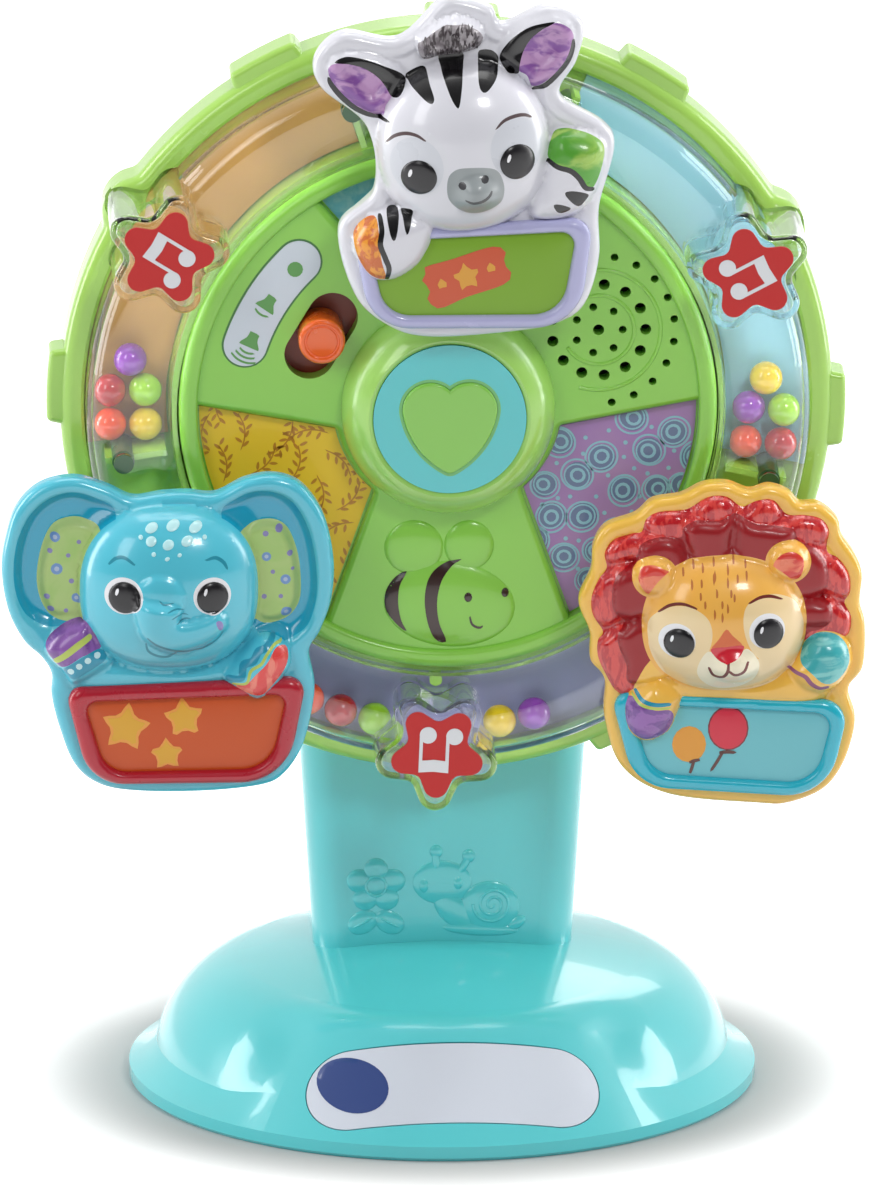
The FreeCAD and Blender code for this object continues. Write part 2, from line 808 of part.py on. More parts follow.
def batteryParts():
    wall = float(size.batteryWall)
    inside = block(bayLow + Vector(wall, wall, wall), bayHigh + Vector(-wall, 2, -wall))
    rim = block(Vector(bayLow.x - 3, bayHigh.y - wall, bayLow.z - 3), bayHigh + Vector(3, 0, 12))
    back = float(size.columnBehind)
    screwHeight = bayHigh.z + 4.5
    pilot = Part.makeCylinder(float(size.screwRadius) + 0.15, 12, Vector(0, back - 8, screwHeight), Vector(0, 1, 0))
    group("battery_box", [block(bayLow, bayHigh).fuse(rim).cut(inside).cut(pilot)])
    cells = []
    contacts = []
    base = bayLow.z + wall + 4
    middle = bayLow.y + wall + 0.3 + float(size.cellRadius)
    for side in (-1, 1):
        x = side * float(size.cellSpacing) / 2
        can = column(x, middle, base, base + float(size.cellLength), size.cellRadius)
        cells.append(can.fuse(column(x, middle, base + float(size.cellLength), base + float(size.cellLength) + 1.2, 2.6)))
        spring = Part.makeCone(5, 3, 3.4, Vector(x, middle, base - 3.5))
        plate = block(Vector(x - 6, middle - 6, base - 4), Vector(x + 6, middle + 6, base - 3.5))
        contacts.append(plate.fuse(spring))
        top = bayHigh.z - wall
        contacts.append(block(Vector(x - 6, middle - 6, top - 0.5), Vector(x + 6, middle + 6, top)))
    group("battery_cells", cells)
    group("battery_contacts", contacts)
    door = block(Vector(bayLow.x, bayHigh.y + 0.3, bayLow.z), Vector(bayHigh.x, back, bayHigh.z + 9))
    edges = [edge for edge in door.Edges if abs(edge.BoundBox.YLength) > 1]
    door = door.makeFillet(2.0, edges)
    seat = Part.makeCylinder(float(size.screwHeadRadius) + 0.2, 5, Vector(0, back - 1.3, screwHeight), Vector(0, 1, 0))
    group("battery_door", [door.cut(seat).cut(pilot)])
    head = Part.makeCylinder(float(size.screwHeadRadius), 1.2, Vector(0, back - 1.3, screwHeight), Vector(0, 1, 0))
    shank = Part.makeCylinder(float(size.screwRadius), 1.4, Vector(0, back - 2.6, screwHeight), Vector(0, 1, 0))
    group("door_screw", [head.fuse(shank)])


# Axle and bearing

def axleParts():
    behind = -size.seamBehind
    turned("axle_tube", [
        (size.axleBore, behind - 2.3), (size.axleFlange, behind - 2.3), (size.axleFlange, behind),
        (size.axleRadius, behind), (size.axleRadius, size.podBack + 6), (size.axleBore, size.podBack + 6),
    ])
    front = size.podBack + size.podWall
    turned("axle_nut", [
        (size.axleRadius, front + 1.7), (size.axleFlange, front + 1.7),
        (size.axleFlange, front + 4), (size.axleRadius, front + 4),
    ])
    bore = size.axleRadius + size.bearingClearance
    outer = bore + size.bushWall
    turned("wheel_bush", [
        (bore, size.wheelBack - 1), (outer + 2.5, size.wheelBack - 1), (outer + 2.5, size.wheelBack),
        (outer, size.wheelBack), (outer, size.podBack - 0.6), (bore, size.podBack - 0.6),
    ])
    return outer


# Control pod

def podParts():
    back, wall = size.podBack, size.podWall
    shell = turned("pod_back", [
        (size.axleRadius, back), (size.podRadius - 2, back), (size.podRadius, back + 2, 2),
        (size.podRadius, size.panelBack), (size.podRadius - wall, size.panelBack),
        (size.podRadius - wall, back + wall), (size.axleRadius + 4, back + wall),
        (size.axleRadius + 4, back + wall + 1.6), (size.axleRadius, back + wall + 1.6),
    ])
    bosses = shell.draw("XZ_Plane", back + wall - 0.4)
    for x, y in podScrewPlaces():
        bosses.circle(x, y, size.screwRadius + 2.2)
    shell.pad(bosses, size.panelBack - back - wall + 0.3)
    holes = shell.draw("XZ_Plane", size.panelBack)
    for x, y in podScrewPlaces():
        holes.circle(x, y, size.screwRadius + 0.05)
    shell.pocket(holes, 12)
    screws = wheelPiece("pod_screws")
    shanks = screws.draw("XZ_Plane", back - 0.3)
    heads = screws.draw("XZ_Plane", back - 1.5)
    for x, y in podScrewPlaces():
        shanks.circle(x, y, size.screwRadius)
        heads.circle(x, y, size.screwHeadRadius)
    screws.pad(heads, 1.3)
    screws.pad(shanks, size.panelBack - back)


def podScrewPlaces():
    reach = size.podRadius - 7
    return [polar(reach, angle) for angle in (0, 90, 180, 270)]


def wedgeOutline(angle, margin=0):
    """The sunk wedge between two lobes of the panel, as seen from the front."""
    inner = size.hubRadius + 1.4 + margin
    outer = size.lipInner - margin
    near = size.wedgeInnerAngle - 2 * margin
    far = size.wedgeOuterAngle - margin
    return [polar(inner, angle - near) + (-inner,), polar(outer, angle - far),
            polar(outer, angle + far) + (outer,), polar(inner, angle + near)]


def panelPart():
    floor, top, lip = size.panelFloor, size.lobeTop, size.lipTop
    outside = size.lipRound
    inside = size.lipRound - 1
    panel = turned("panel_moulding", [
        (10, size.panelBack), (size.podRadius, size.panelBack), (size.podRadius, lip - outside),
        (size.podRadius - outside, lip, outside), (size.lipInner + inside, lip),
        (size.lipInner, lip - inside, inside), (size.lipInner, top), (10, top),
    ])
    wedge = panel.pocket(panel.draw("XZ_Plane", top).outline(wedgeOutline(90)), top - floor)
    panel.repeat([wedge], 3)
    innerRadius = float(size.hubRadius) + 1.4
    outerRadius = float(size.lipInner)

    def middleReach(edge):
        point = edge.valueAt((edge.FirstParameter + edge.LastParameter) / 2)
        return math.hypot(point.x, point.z)

    def innerCorner(edge):
        return edge.BoundBox.YLength > 1 and abs(middleReach(edge) - innerRadius) < 0.3

    def wedgeRim(edge):
        box = edge.BoundBox
        return box.YMax < -float(top) + 0.01 and 12 < middleReach(edge) < outerRadius - 0.3

    panel.soften(innerCorner, 2)
    panel.soften(wedgeRim, size.lobeEdge)
    slot = panel.draw("XZ_Plane", top + 5, turn=size.slotAngle)
    half = size.slotLength / 2
    reach, radius = size.slotReach, size.slotRadius
    slot.outline([(reach + radius, -half, radius), (reach + radius, half),
                  (reach, half + radius, radius), (reach - radius, half, radius),
                  (reach - radius, -half), (reach, -half - radius, radius)])
    panel.pocket(slot, 20)
    grille = panel.draw("XZ_Plane", top + 5)
    for x, y, radius in grilleHoles():
        grille.circle(size.speakerAcross + x, size.speakerUp + y, radius)
    panel.pocket(grille, 20)
    bee = group("bee", [beeShape()])
    arcs = []
    for reach, start, end in ((9.0, -150, 150), (15.7, -108, 96)):
        arc = ridge(float(size.speakerAcross), float(size.speakerUp), float(top) - 0.15, reach, 0.55, start, end)
        arc.translate(Vector(0, 0, float(size.axisHeight)))
        arcs.append(arc)
    ridges = group("grille_ridges", arcs)
    boolean("MultiFuse", "panel_front", panel.body, [bee, ridges])


def grilleHoles():
    """A large hole in the middle with rings of holes round it, the outermost only half a turn."""
    holes = [(0, 0, size.grilleLargeHole)]
    rings = [(6.1, 7, 0, 360, size.grilleSmallHole), (11.9, 13, 0, 360, size.grilleLargeHole),
             (19.3, 10, -80, 78, size.grilleSmallHole)]
    for reach, count, start, end, radius in rings:
        steps = count if end - start == 360 else count - 1
        for step in range(count):
            angle = math.radians(start + (end - start) * step / steps)
            holes.append((reach * math.cos(angle), reach * math.sin(angle), radius))
    return holes


def beeShape():
    level = float(size.lobeTop) - 0.3
    body = bump(0.3, -51.4, level, 16.8, 11.2, 2.6, -6)
    wings = [bump(-8.7, -36.4, level, 7.6, 7.2, 1.8), bump(5.3, -36.0, level, 6.4, 6.6, 1.8)]
    bee = body.multiFuse(wings)
    bee.translate(Vector(0, 0, float(size.axisHeight)))
    return bee


def hubParts():
    base, top = size.lobeTop, size.hubTop
    disc = size.hubDiscRadius
    ledge = disc - 3.6
    turned("hub_bezel", [
        (ledge, base), (size.hubRadius, base), (disc + 1.2, top, 11.5), (disc + 0.1, top - 0.4),
        (disc + 0.1, top - 2.6), (ledge, top - 2.6),
    ])
    heart = heartLoop(float(size.heartHalfWidth))
    hole = heartLoop(float(size.heartHalfWidth), float(size.heartGap))
    plate = rod(0, 0, float(top) - 2.5, float(top) + 0.2, disc)
    group("hub_disc", [plate.cut(prism(hole, float(top) - 4, float(top) + 2))])
    button = prism(heart, float(top) - 7.5, float(top) + 1.2)
    front = -(float(top) + 1.2)
    rims = [edge for edge in button.Edges if edge.BoundBox.YMax < front + 0.01]
    group("heart_button", [button.makeFillet(0.7, rims)])
    turned("button_pad", [
        (4.5, base - 3.2), (8.5, base - 3.2), (7.6, base - 0.2), (6.4, base + 0.4), (4.5, base + 0.4),
    ])
    lampBody = rod(0, 0, float(base) - 3.2, float(base) - 0.5, 2.5)
    group("lamp", [lampBody.fuse(lampDome(float(base) - 0.5))])
    board = rod(0, 0, float(base) - 4.8, float(base) - 3.2, 9.6)
    group("button_board", [board])


def lampDome(forward):
    dome = bump(0, 0, forward, 2.5, 2.5, 1.2)
    dome.translate(Vector(0, 0, float(size.axisHeight)))
    return dome


def heartLoop(halfWidth, grow=0.0):
    """A heart of two round lobes, wide side arcs and a rounded point. Each arc runs on from the last."""
    lobe, tip = halfWidth * 0.589, halfWidth * 0.17
    centre = Vector(halfWidth - lobe, 0, halfWidth * 0.8 - lobe)
    tipCentre = Vector(0, 0, tip - halfWidth * 1.17)
    out = Vector(math.cos(math.radians(-10)), 0, math.sin(math.radians(-10)))
    span = centre + out * lobe - tipCentre
    reach = (span.Length ** 2 - tip ** 2) / (2 * (span.dot(out) - tip))
    sideCentre = centre + out * (lobe - reach)
    down = (tipCentre - sideCentre).normalize()
    flank = centre + out * (lobe + grow)
    low = tipCentre + down * (tip + grow)
    side = sideCentre + (out + down).normalize() * (reach + grow)
    notch = Vector(0, 0, centre.z + math.sqrt((lobe + grow) ** 2 - centre.x ** 2))
    crest = centre + Vector(math.cos(math.radians(60)), 0, math.sin(math.radians(60))) * (lobe + grow)
    flip = lambda point: Vector(-point.x, 0, point.z)
    return Part.Wire([
        Part.Arc(notch, crest, flank).toShape(),
        Part.Arc(flank, side, low).toShape(),
        Part.Arc(low, tipCentre - Vector(0, 0, tip + grow), flip(low)).toShape(),
        Part.Arc(flip(low), flip(side), flip(flank)).toShape(),
        Part.Arc(flip(flank), flip(crest), notch).toShape(),
    ])


def switchParts():
    x, y = polar(size.slotReach, size.slotAngle)
    front = size.panelBack - 0.3
    body = Piece("switch_body", z=size.axisHeight)
    case = body.draw("XZ_Plane", size.podBack + size.podWall + 0.2, turn=size.slotAngle)
    reach = size.slotReach
    case.outline([(reach - 7.5, -13), (reach + 7.5, -13), (reach + 7.5, 13), (reach - 7.5, 13)])
    body.pad(case, front - size.podBack - size.podWall - 0.2)
    knob = rod(x, y, float(front) + 0.3, size.knobTop, size.knobRadius)
    rims = [edge for edge in knob.Edges if edge.BoundBox.YMax < -float(size.knobTop) + 0.01]
    knob = knob.makeFillet(1.2, rims)
    dish = Part.makeSphere(16, forwardPoint(x, y, float(size.knobTop) + 15.3))
    groove = Part.makeTorus(4.1, 0.4, forwardPoint(x, y, float(size.knobTop) - 0.05), Vector(0, 1, 0))
    group("volume_knob", [knob.cut(dish).cut(groove)])


def podInsides():
    x, y = size.speakerAcross, size.speakerUp
    floor = size.podBack + size.podWall
    speaker = wheelPiece("speaker")
    speaker.pad(speaker.draw("XZ_Plane", floor + 0.1).circle(x, y, size.speakerRadius * 0.55), 2)
    speaker.pad(speaker.draw("XZ_Plane", floor + 2).circle(x, y, size.speakerRadius), 3.4)
    cone = speaker.draw("XZ_Plane", floor + 5.4).circle(x, y, size.speakerRadius - 2)
    speaker.pocket(cone, 1.4)
    board = wheelPiece("circuit_board")
    board.pad(board.draw("XZ_Plane", floor).outline([(-22, -52), (22, -52), (22, -26), (-22, -26)]), 1.6)
    board.pad(board.draw("XZ_Plane", floor + 1.6).outline([(-12, -46), (4, -46), (4, -32), (-12, -32)]), 2)


def printedSheets():
    """Thin printed sheets in the three wedges and the volume label beside the switch."""
    low = size.panelFloor
    for label, angle in (("sky_sheet", 90), ("leaf_sheet", 210), ("ring_sheet", 330)):
        piece = wheelPiece(label)
        piece.pad(piece.draw("XZ_Plane", low).outline(wedgeOutline(angle, 0.5)), size.sheetThickness)
    label = wheelPiece("volume_label")
    middle, half = size.labelArcRadius, size.labelArcWidth / 2
    start, end = 134.2, 161.5
    outer, inner = middle + half, middle - half
    loop = [polar(outer, start) + (half,), polar(outer, end) + (outer,), polar(middle, end + 5.8) + (half,),
            polar(inner, end) + (half,), polar(inner, start) + (-inner,), polar(middle, start - 5.8) + (half,)]
    label.pad(label.draw("XZ_Plane", size.lobeTop).outline(loop), size.sheetThickness)


# Wheel

def crescent(reach, radius, base):
    """The part of a circle at 30 degrees that lies outside a circle round the wheel axis."""
    share = (float(base) ** 2 - float(reach) ** 2 - float(radius) ** 2) / (2 * float(reach) * float(radius))
    swing = math.degrees(math.acos(share))
    points = []
    for side in (-1, 1):
        x = reach * cosine(30) + radius * cosine(30 + side * swing)
        y = reach * sine(30) + radius * sine(30 + side * swing)
        points.append((x, y))
    return [points[0] + (-base,), points[1] + (radius,)]


def wheelRim():
    back, front = size.wheelBack, size.wheelFront
    edge, inner, floor = size.rimRound, size.rimInner, size.trayFloor
    ring, wall = size.ringInner, size.wheelWall
    rim = size.rimRadius
    wheel = turned("rim_moulding", [
        (ring, back + 2), (ring + wall, back + 2), (ring + wall, floor - 2), (inner - 1.7, floor - 2),
        (inner - 1.7, back + 2), (inner - 0.1, back + 2), (inner - 0.1, back), (rim, back), (rim, front),
        (inner + 0.8, front), (inner, front - 0.6), (inner, floor), (ring + wall, floor),
        (ring + wall, size.ringCrown - 9.4), (ring, size.ringCrown - 9.4),
    ], turn=size.wheelTurn)
    bulge = wheel.pad(wheel.draw("XZ_Plane", back).outline(
        crescent(size.bulgeReach, size.bulgeRadius, inner + 2.3)), front - back)
    wheel.repeat([bulge], 3)

    def spot(edge):
        """Distance of an edge's middle from the wheel axis, and its angle from the nearest bulge."""
        point = edge.valueAt((edge.FirstParameter + edge.LastParameter) / 2)
        angle = math.degrees(math.atan2(point.z, point.x)) % 120
        return math.hypot(point.x, point.z), abs(angle - 30)

    def besideBulge(edge):
        reach, turn = spot(edge)
        return edge.BoundBox.YLength > 5 and reach > float(rim) - 0.5 and 4 < turn < 7

    def outerRim(item):
        box = item.BoundBox
        across = box.YLength < 0.01 and (box.YMax < -float(front) + 0.01 or box.YMin > -float(back) - 0.01)
        return across and spot(item)[0] > float(rim) - 0.6

    wheel.soften(besideBulge, size.bulgeBlend)
    wheel.soften(outerRim, edge)
    walls = wheel.draw("XZ_Plane", floor - 0.4)
    for side in (-1, 1):
        angle = 90 + side * size.dividerAngle
        walls.outline([polar(ring + wall + 1.9, angle - 0.6), polar(inner - 4.2, angle - 0.5),
                       polar(inner - 4.2, angle + 0.5), polar(ring + wall + 1.9, angle + 0.6)])
    plates = wheel.pad(walls, size.ringCrown - 4.8 - floor)
    posts = wheel.draw("XZ_Plane", floor - 0.4)
    for side in (-1, 1):
        x, y = polar(size.postReach, 90 + side * size.dividerAngle)
        posts.circle(x, y, size.postRadius)
    stubs = wheel.pad(posts, size.ringCrown - 2 - floor)
    x, y = starPost(30)
    fin = wheel.pad(wheel.draw("XZ_Plane", floor - 0.4).circle(x, y, 1.6), size.ringCrown - 9 - floor)
    drill = wheel.draw("XZ_Plane", size.ringCrown)
    for side in (-1, 1):
        x, y = polar(size.postReach, 90 + side * size.dividerAngle)
        drill.circle(x, y, size.screwRadius)
    pilot = wheel.pocket(drill, 8)
    x, y = polar(size.pivotReach, 90)
    pivot = wheel.pad(wheel.draw("XZ_Plane", floor - 0.4).circle(x, y, size.pivotPostRadius),
                      size.pivotPostTop - floor + 0.4)
    bore = wheel.pocket(wheel.draw("XZ_Plane", size.pivotPostTop).circle(x, y, size.pinRadius), 17)
    wheel.repeat([plates, stubs, fin, pilot, pivot, bore], 3)
    outline = starWire(float(size.starRadius), float(size.starValley), float(size.starTipRound), 3.0)
    cutter = prism(outline.makeOffset2D(0.5), floor, front + 1)
    cutter.translate(Vector(float(size.starReach), 0, 0))
    recess = group("star_recess", [rotated(cutter, angle) for angle in starAngles])
    lug = rimLug()
    turns = [gondola + step for gondola in gondolaAngles for step in (-30, 0, 30)]
    lugs = group("rim_lugs", [rotated(lug, angle) for angle in turns])
    boolean("Cut", "wheel_rim", boolean("MultiFuse", "lugged_rim", wheel.body, [lugs]), recess)


def rimLug():
    """A pad with rounded edges that stands out of the rim, drawn on the X axis."""
    foot, top = float(size.rimRadius) - 2.5, float(size.rimRadius + size.lugHeight)
    half = float(size.lugHalfAngle)

    def at(reach, angle):
        return flat(reach * math.cos(math.radians(angle)), reach * math.sin(math.radians(angle)))

    low, high = half, half * 0.84
    wire = Part.Wire([
        Part.LineSegment(at(foot, -low), at(top, -high)).toShape(),
        Part.Arc(at(top, -high), at(top, 0), at(top, high)).toShape(),
        Part.LineSegment(at(top, high), at(foot, low)).toShape(),
        Part.LineSegment(at(foot, low), at(foot, -low)).toShape(),
    ])
    lug = prism(wire, float(size.wheelBack) + 2.5, float(size.wheelFront) - 1.5)
    outside = [edge for edge in lug.Edges if edge.CenterOfMass.x > foot + 0.5]
    return lug.makeFillet(float(size.lugRound), outside)


def starPost(angle):
    """Place of the small post between a star blister and the inner wall of the ring."""
    return polar(size.starReach - size.starValley - 2.4, angle)


def wheelCover(bushOuter):
    back = size.wheelBack
    cover = turned("wheel_cover", [
        (bushOuter, back), (size.rimInner - 0.3, back), (size.rimInner - 0.3, back + 1.9),
        (bushOuter + 3.1, back + 1.9), (bushOuter + 3.1, size.podBack - 1.4),
        (bushOuter, size.podBack - 1.4),
    ], turn=size.wheelTurn)
    rib = cover.draw("XZ_Plane", back + 1.5)
    rib.outline([(bushOuter + 2, -0.8), (size.ringInner - 1, -0.8), (size.ringInner - 1, 0.8), (bushOuter + 2, 0.8)])
    made = cover.pad(rib, 3.5)
    cover.repeat([made], 12)


def ringProfile(inset):
    """Section of the clear cover: outer skirt, shoulder, crown and inner skirt."""
    outer = float(size.rimInner) - 0.2 - inset
    inner = float(size.ringInner) + 0.1 + inset
    crown = float(size.ringCrown) - inset
    radius = float(size.ringShoulderRadius) - inset
    foot = float(size.trayFloor + size.trayThickness) + 0.2
    innerFoot = float(size.ringCrown) - 9.2
    innerTop = crown - 3.0
    lipRadius = 1.6
    half = math.sqrt(0.5)
    shoulder = Vector(outer - radius, crown - radius, 0)
    points = [
        ("line", Vector(outer, foot, 0), Vector(outer, shoulder.y, 0)),
        ("arc", Vector(outer, shoulder.y, 0), shoulder + Vector(radius * half, radius * half, 0),
         Vector(shoulder.x, crown, 0)),
        ("arc", Vector(shoulder.x, crown, 0), Vector((shoulder.x + inner + lipRadius) / 2, crown - 0.75, 0),
         Vector(inner + lipRadius, innerTop, 0)),
        ("line", Vector(inner + lipRadius, innerTop, 0), Vector(inner, innerTop - lipRadius, 0)),
        ("line", Vector(inner, innerTop - lipRadius, 0), Vector(inner, innerFoot, 0)),
    ]
    return points


def ringShell():
    outside = ringProfile(0)
    inside = ringProfile(float(size.starWall))
    edges = []
    for step in outside + inside:
        shape = Part.LineSegment(step[1], step[2]) if step[0] == "line" else Part.Arc(*step[1:])
        edges.append(shape.toShape())
    for number in (0, -1):
        low = outside[number][1 if number == 0 else 2]
        high = inside[number][1 if number == 0 else 2]
        edges.append(Part.LineSegment(low, high).toShape())
    wire = Part.Wire(Part.__sortEdges__(edges))
    face = Part.Face(wire)
    shell = face.revolve(Vector(), Vector(0, 1, 0), 360)
    shell.rotate(Vector(), Vector(0, 0, 1), 180)
    shell.translate(Vector(0, 0, float(size.axisHeight)))
    return shell


def starWire(reach, valley, tipRound, valleyRound):
    """A star with rounded points, one of them along +X. The points end at the reach."""
    corner = reach
    for step in range(30):
        lean = math.atan2(valley * math.sin(math.pi / 5), corner - valley * math.cos(math.pi / 5))
        corner = reach + tipRound * (1 / math.sin(lean) - 1)
    radii = [tipRound if step % 2 == 0 else valleyRound for step in range(10)]
    return roundedLoop(starPoints(corner, valley), radii)


def starPrism(wire, back, front, edge):
    solid = prism(wire, back, front)
    rims = [item for item in solid.Edges if item.BoundBox.YMax < -float(front) + 0.01]
    solid = solid.makeFillet(edge, rims)
    solid.translate(Vector(float(size.starReach), 0, 0))
    return solid


def underStar():
    """What is cut from under a star blister inside the ring, so that beads can lie against its
    round neck."""
    reach = float(size.starReach)
    top = float(size.starNeckTop)
    around = rod(reach, 0, 20, top, float(size.starRadius) + 1)
    ring = rod(0, 0, 20, top, float(size.rimInner) - 1.85).cut(rod(0, 0, 20, top, float(size.ringInner) + 2))
    return around.common(ring).cut(rod(reach, 0, 20, top, size.starNeck))


def ringCover():
    wall = float(size.starWall)
    foot = float(size.trayFloor + size.trayThickness) + 0.2
    top = float(size.starTop)
    cover = ringShell()
    outline = starWire(float(size.starRadius), float(size.starValley), float(size.starTipRound), 3.0)
    outer = starPrism(outline, foot, top, 2.2)
    inner = starPrism(outline.makeOffset2D(-wall), foot - 5, top - wall, 1.0)
    reach = float(size.starReach)
    neck = rod(reach, 0, foot, float(size.starNeckTop) + 1, size.starNeck)
    neck = neck.cut(rod(reach, 0, foot - 1, float(size.starNeckTop) + 2, float(size.starNeck) - wall))
    under = underStar()
    for angle in starAngles:
        cover = cover.fuse(rotated(outer, angle))
    for angle in starAngles:
        cover = cover.cut(rotated(inner, angle)).cut(rotated(under, angle)).fuse(rotated(neck, angle))
    post = float(size.pivotPostRadius) + 0.3
    crown = float(size.ringCrown)
    for angle in gondolaAngles:
        hole = rod(float(size.pivotReach), 0, 20, 60, post)
        cover = cover.cut(rotated(hole, angle))
    for angle in screwAngles():
        hole = rod(float(size.postReach), 0, crown - 4, 60, float(size.screwRadius) + 0.1)
        seat = rod(float(size.postReach), 0, crown - 0.8, 60, float(size.screwHeadRadius) - 0.4)
        cover = cover.cut(rotated(hole.fuse(seat), angle))
    group("ring_cover", [cover])


def screwAngles():
    turn = float(size.dividerAngle)
    return [angle + side * turn for angle in gondolaAngles for side in (-1, 1)]


def wheelTrims():
    low = float(size.trayFloor)
    high = low + float(size.trayThickness)
    inner = size.ringInner + size.wheelWall + 0.3
    outer = size.rimInner - 0.3
    near = 90 + size.dividerAngle + 1.2
    far = 210 - size.dividerAngle - 1.2
    for label, shift in (("tray_tan", 0), ("tray_violet", 120), ("tray_turquoise", 240)):
        piece = wheelPiece(label, size.wheelTurn)
        loop = [polar(outer, near + shift), polar(outer, far + shift) + (outer,),
                polar(inner, far + shift), polar(inner, near + shift) + (-inner,)]
        piece.pad(piece.draw("XZ_Plane", size.trayFloor).outline(loop), size.trayThickness)
        holes = piece.draw("XZ_Plane", size.trayFloor + 3)
        holes.circle(*starPost(150 + shift), 1.8)
        for angle in (90 + size.dividerAngle + shift, 210 - size.dividerAngle + shift):
            holes.circle(*polar(size.postReach, angle), size.postRadius + 0.2)
        piece.pocket(holes, 6)
    badge = starWire(float(size.badgeRadius), 7.6, 3.1, 2.4)
    plate = prism(badge, float(size.starTop) + 0.05, float(size.starTop + size.badgeThickness))
    plate.translate(Vector(float(size.starReach), 0, 0))
    group("star_badges", [rotated(plate, angle) for angle in starAngles])
    note = noteShape()
    group("note_marks", [rotated(note, angle) for angle in starAngles])
    screws = []
    for angle in screwAngles():
        front = float(size.ringCrown) - 0.8
        head = rod(float(size.postReach), 0, front, front + 1.2, float(size.screwHeadRadius) - 0.5)
        shank = rod(float(size.postReach), 0, float(size.ringCrown) - 7, front, size.screwRadius)
        screws.append(rotated(head.fuse(shank), angle))
    group("ring_screws", screws)
    pins = []
    for angle in gondolaAngles:
        back = float(size.gondolaBack + size.backThickness)
        shaft = rod(float(size.pivotReach), 0, 31, back + 0.4, size.pinRadius)
        head = rod(float(size.pivotReach), 0, back + 0.4, back + 1.9, size.pinHeadRadius)
        pins.append(rotated(shaft.fuse(head), angle))
    group("gondola_pins", pins)


def noteShape():
    """Two joined notes that stand outwards from the wheel's middle."""
    low = float(size.starTop + size.badgeThickness) + 0.02
    high = low + 0.25
    parts = []
    for x, y, near in ((-4.4, -2.5, -4.6), (-4.2, 4.2, 2.1)):
        parts.append(rod(x, y, low, high, 2.15))
        corners = [(x, near), (4.2, near), (4.2, near + 0.85), (x, near + 0.85)]
        parts.append(prism(Part.makePolygon([flat(*corner) for corner in corners + corners[:1]]), low, high))
    beam = [(2.4, -4.6), (5.4, -4.6), (5.1, -0.8), (5.4, 2.95), (2.4, 2.95), (2.0, -0.8), (2.4, -4.6)]
    parts.append(prism(Part.makePolygon([flat(*corner) for corner in beam]), low, high))
    shape = parts[0].multiFuse(parts[1:])
    shape.translate(Vector(float(size.starReach), 0, 0))
    return shape


def beadGroups():
    """Beads lie on the lower wall of each compartment. Each place is a distance from the wheel axis
    and an angle up from that wall."""
    radius = float(size.beadRadius)
    outer = float(size.rimInner) - 2.1 - radius
    inner = float(size.ringInner) + 3.6 + radius
    middle = (outer + inner) / 2
    forward = float(size.trayFloor + size.trayThickness) + 0.3 + radius
    heap = [(outer, 4.75), (outer, 10.7), (inner, 4.3), (inner, 11.0), (middle, 16.5)]
    divider = float(size.dividerAngle)
    leftWall = gondolaAngles[1] - divider
    rightWall = gondolaAngles[2] + divider
    bottomStar = starAngles[2]
    groups = {
        "beads_left": [(r, leftWall - a) for r, a in heap],
        "beads_right": [(r, rightWall + a) for r, a in heap],
        "beads_bottom_left": [(outer, bottomStar - a) for a in (10.0, 16.0, 22.0)],
        "beads_bottom_right": [(outer, bottomStar + a) for a in (11.4, 17.4)],
    }
    for label, places in groups.items():
        balls = []
        for reach, angle in places:
            turn = math.radians(angle)
            centre = forwardPoint(reach * math.cos(turn), reach * math.sin(turn), forward)
            balls.append(Part.makeSphere(radius, centre))
        group(label, balls)


# Gondolas: outlines and raised forms are distances across and up from the pivot

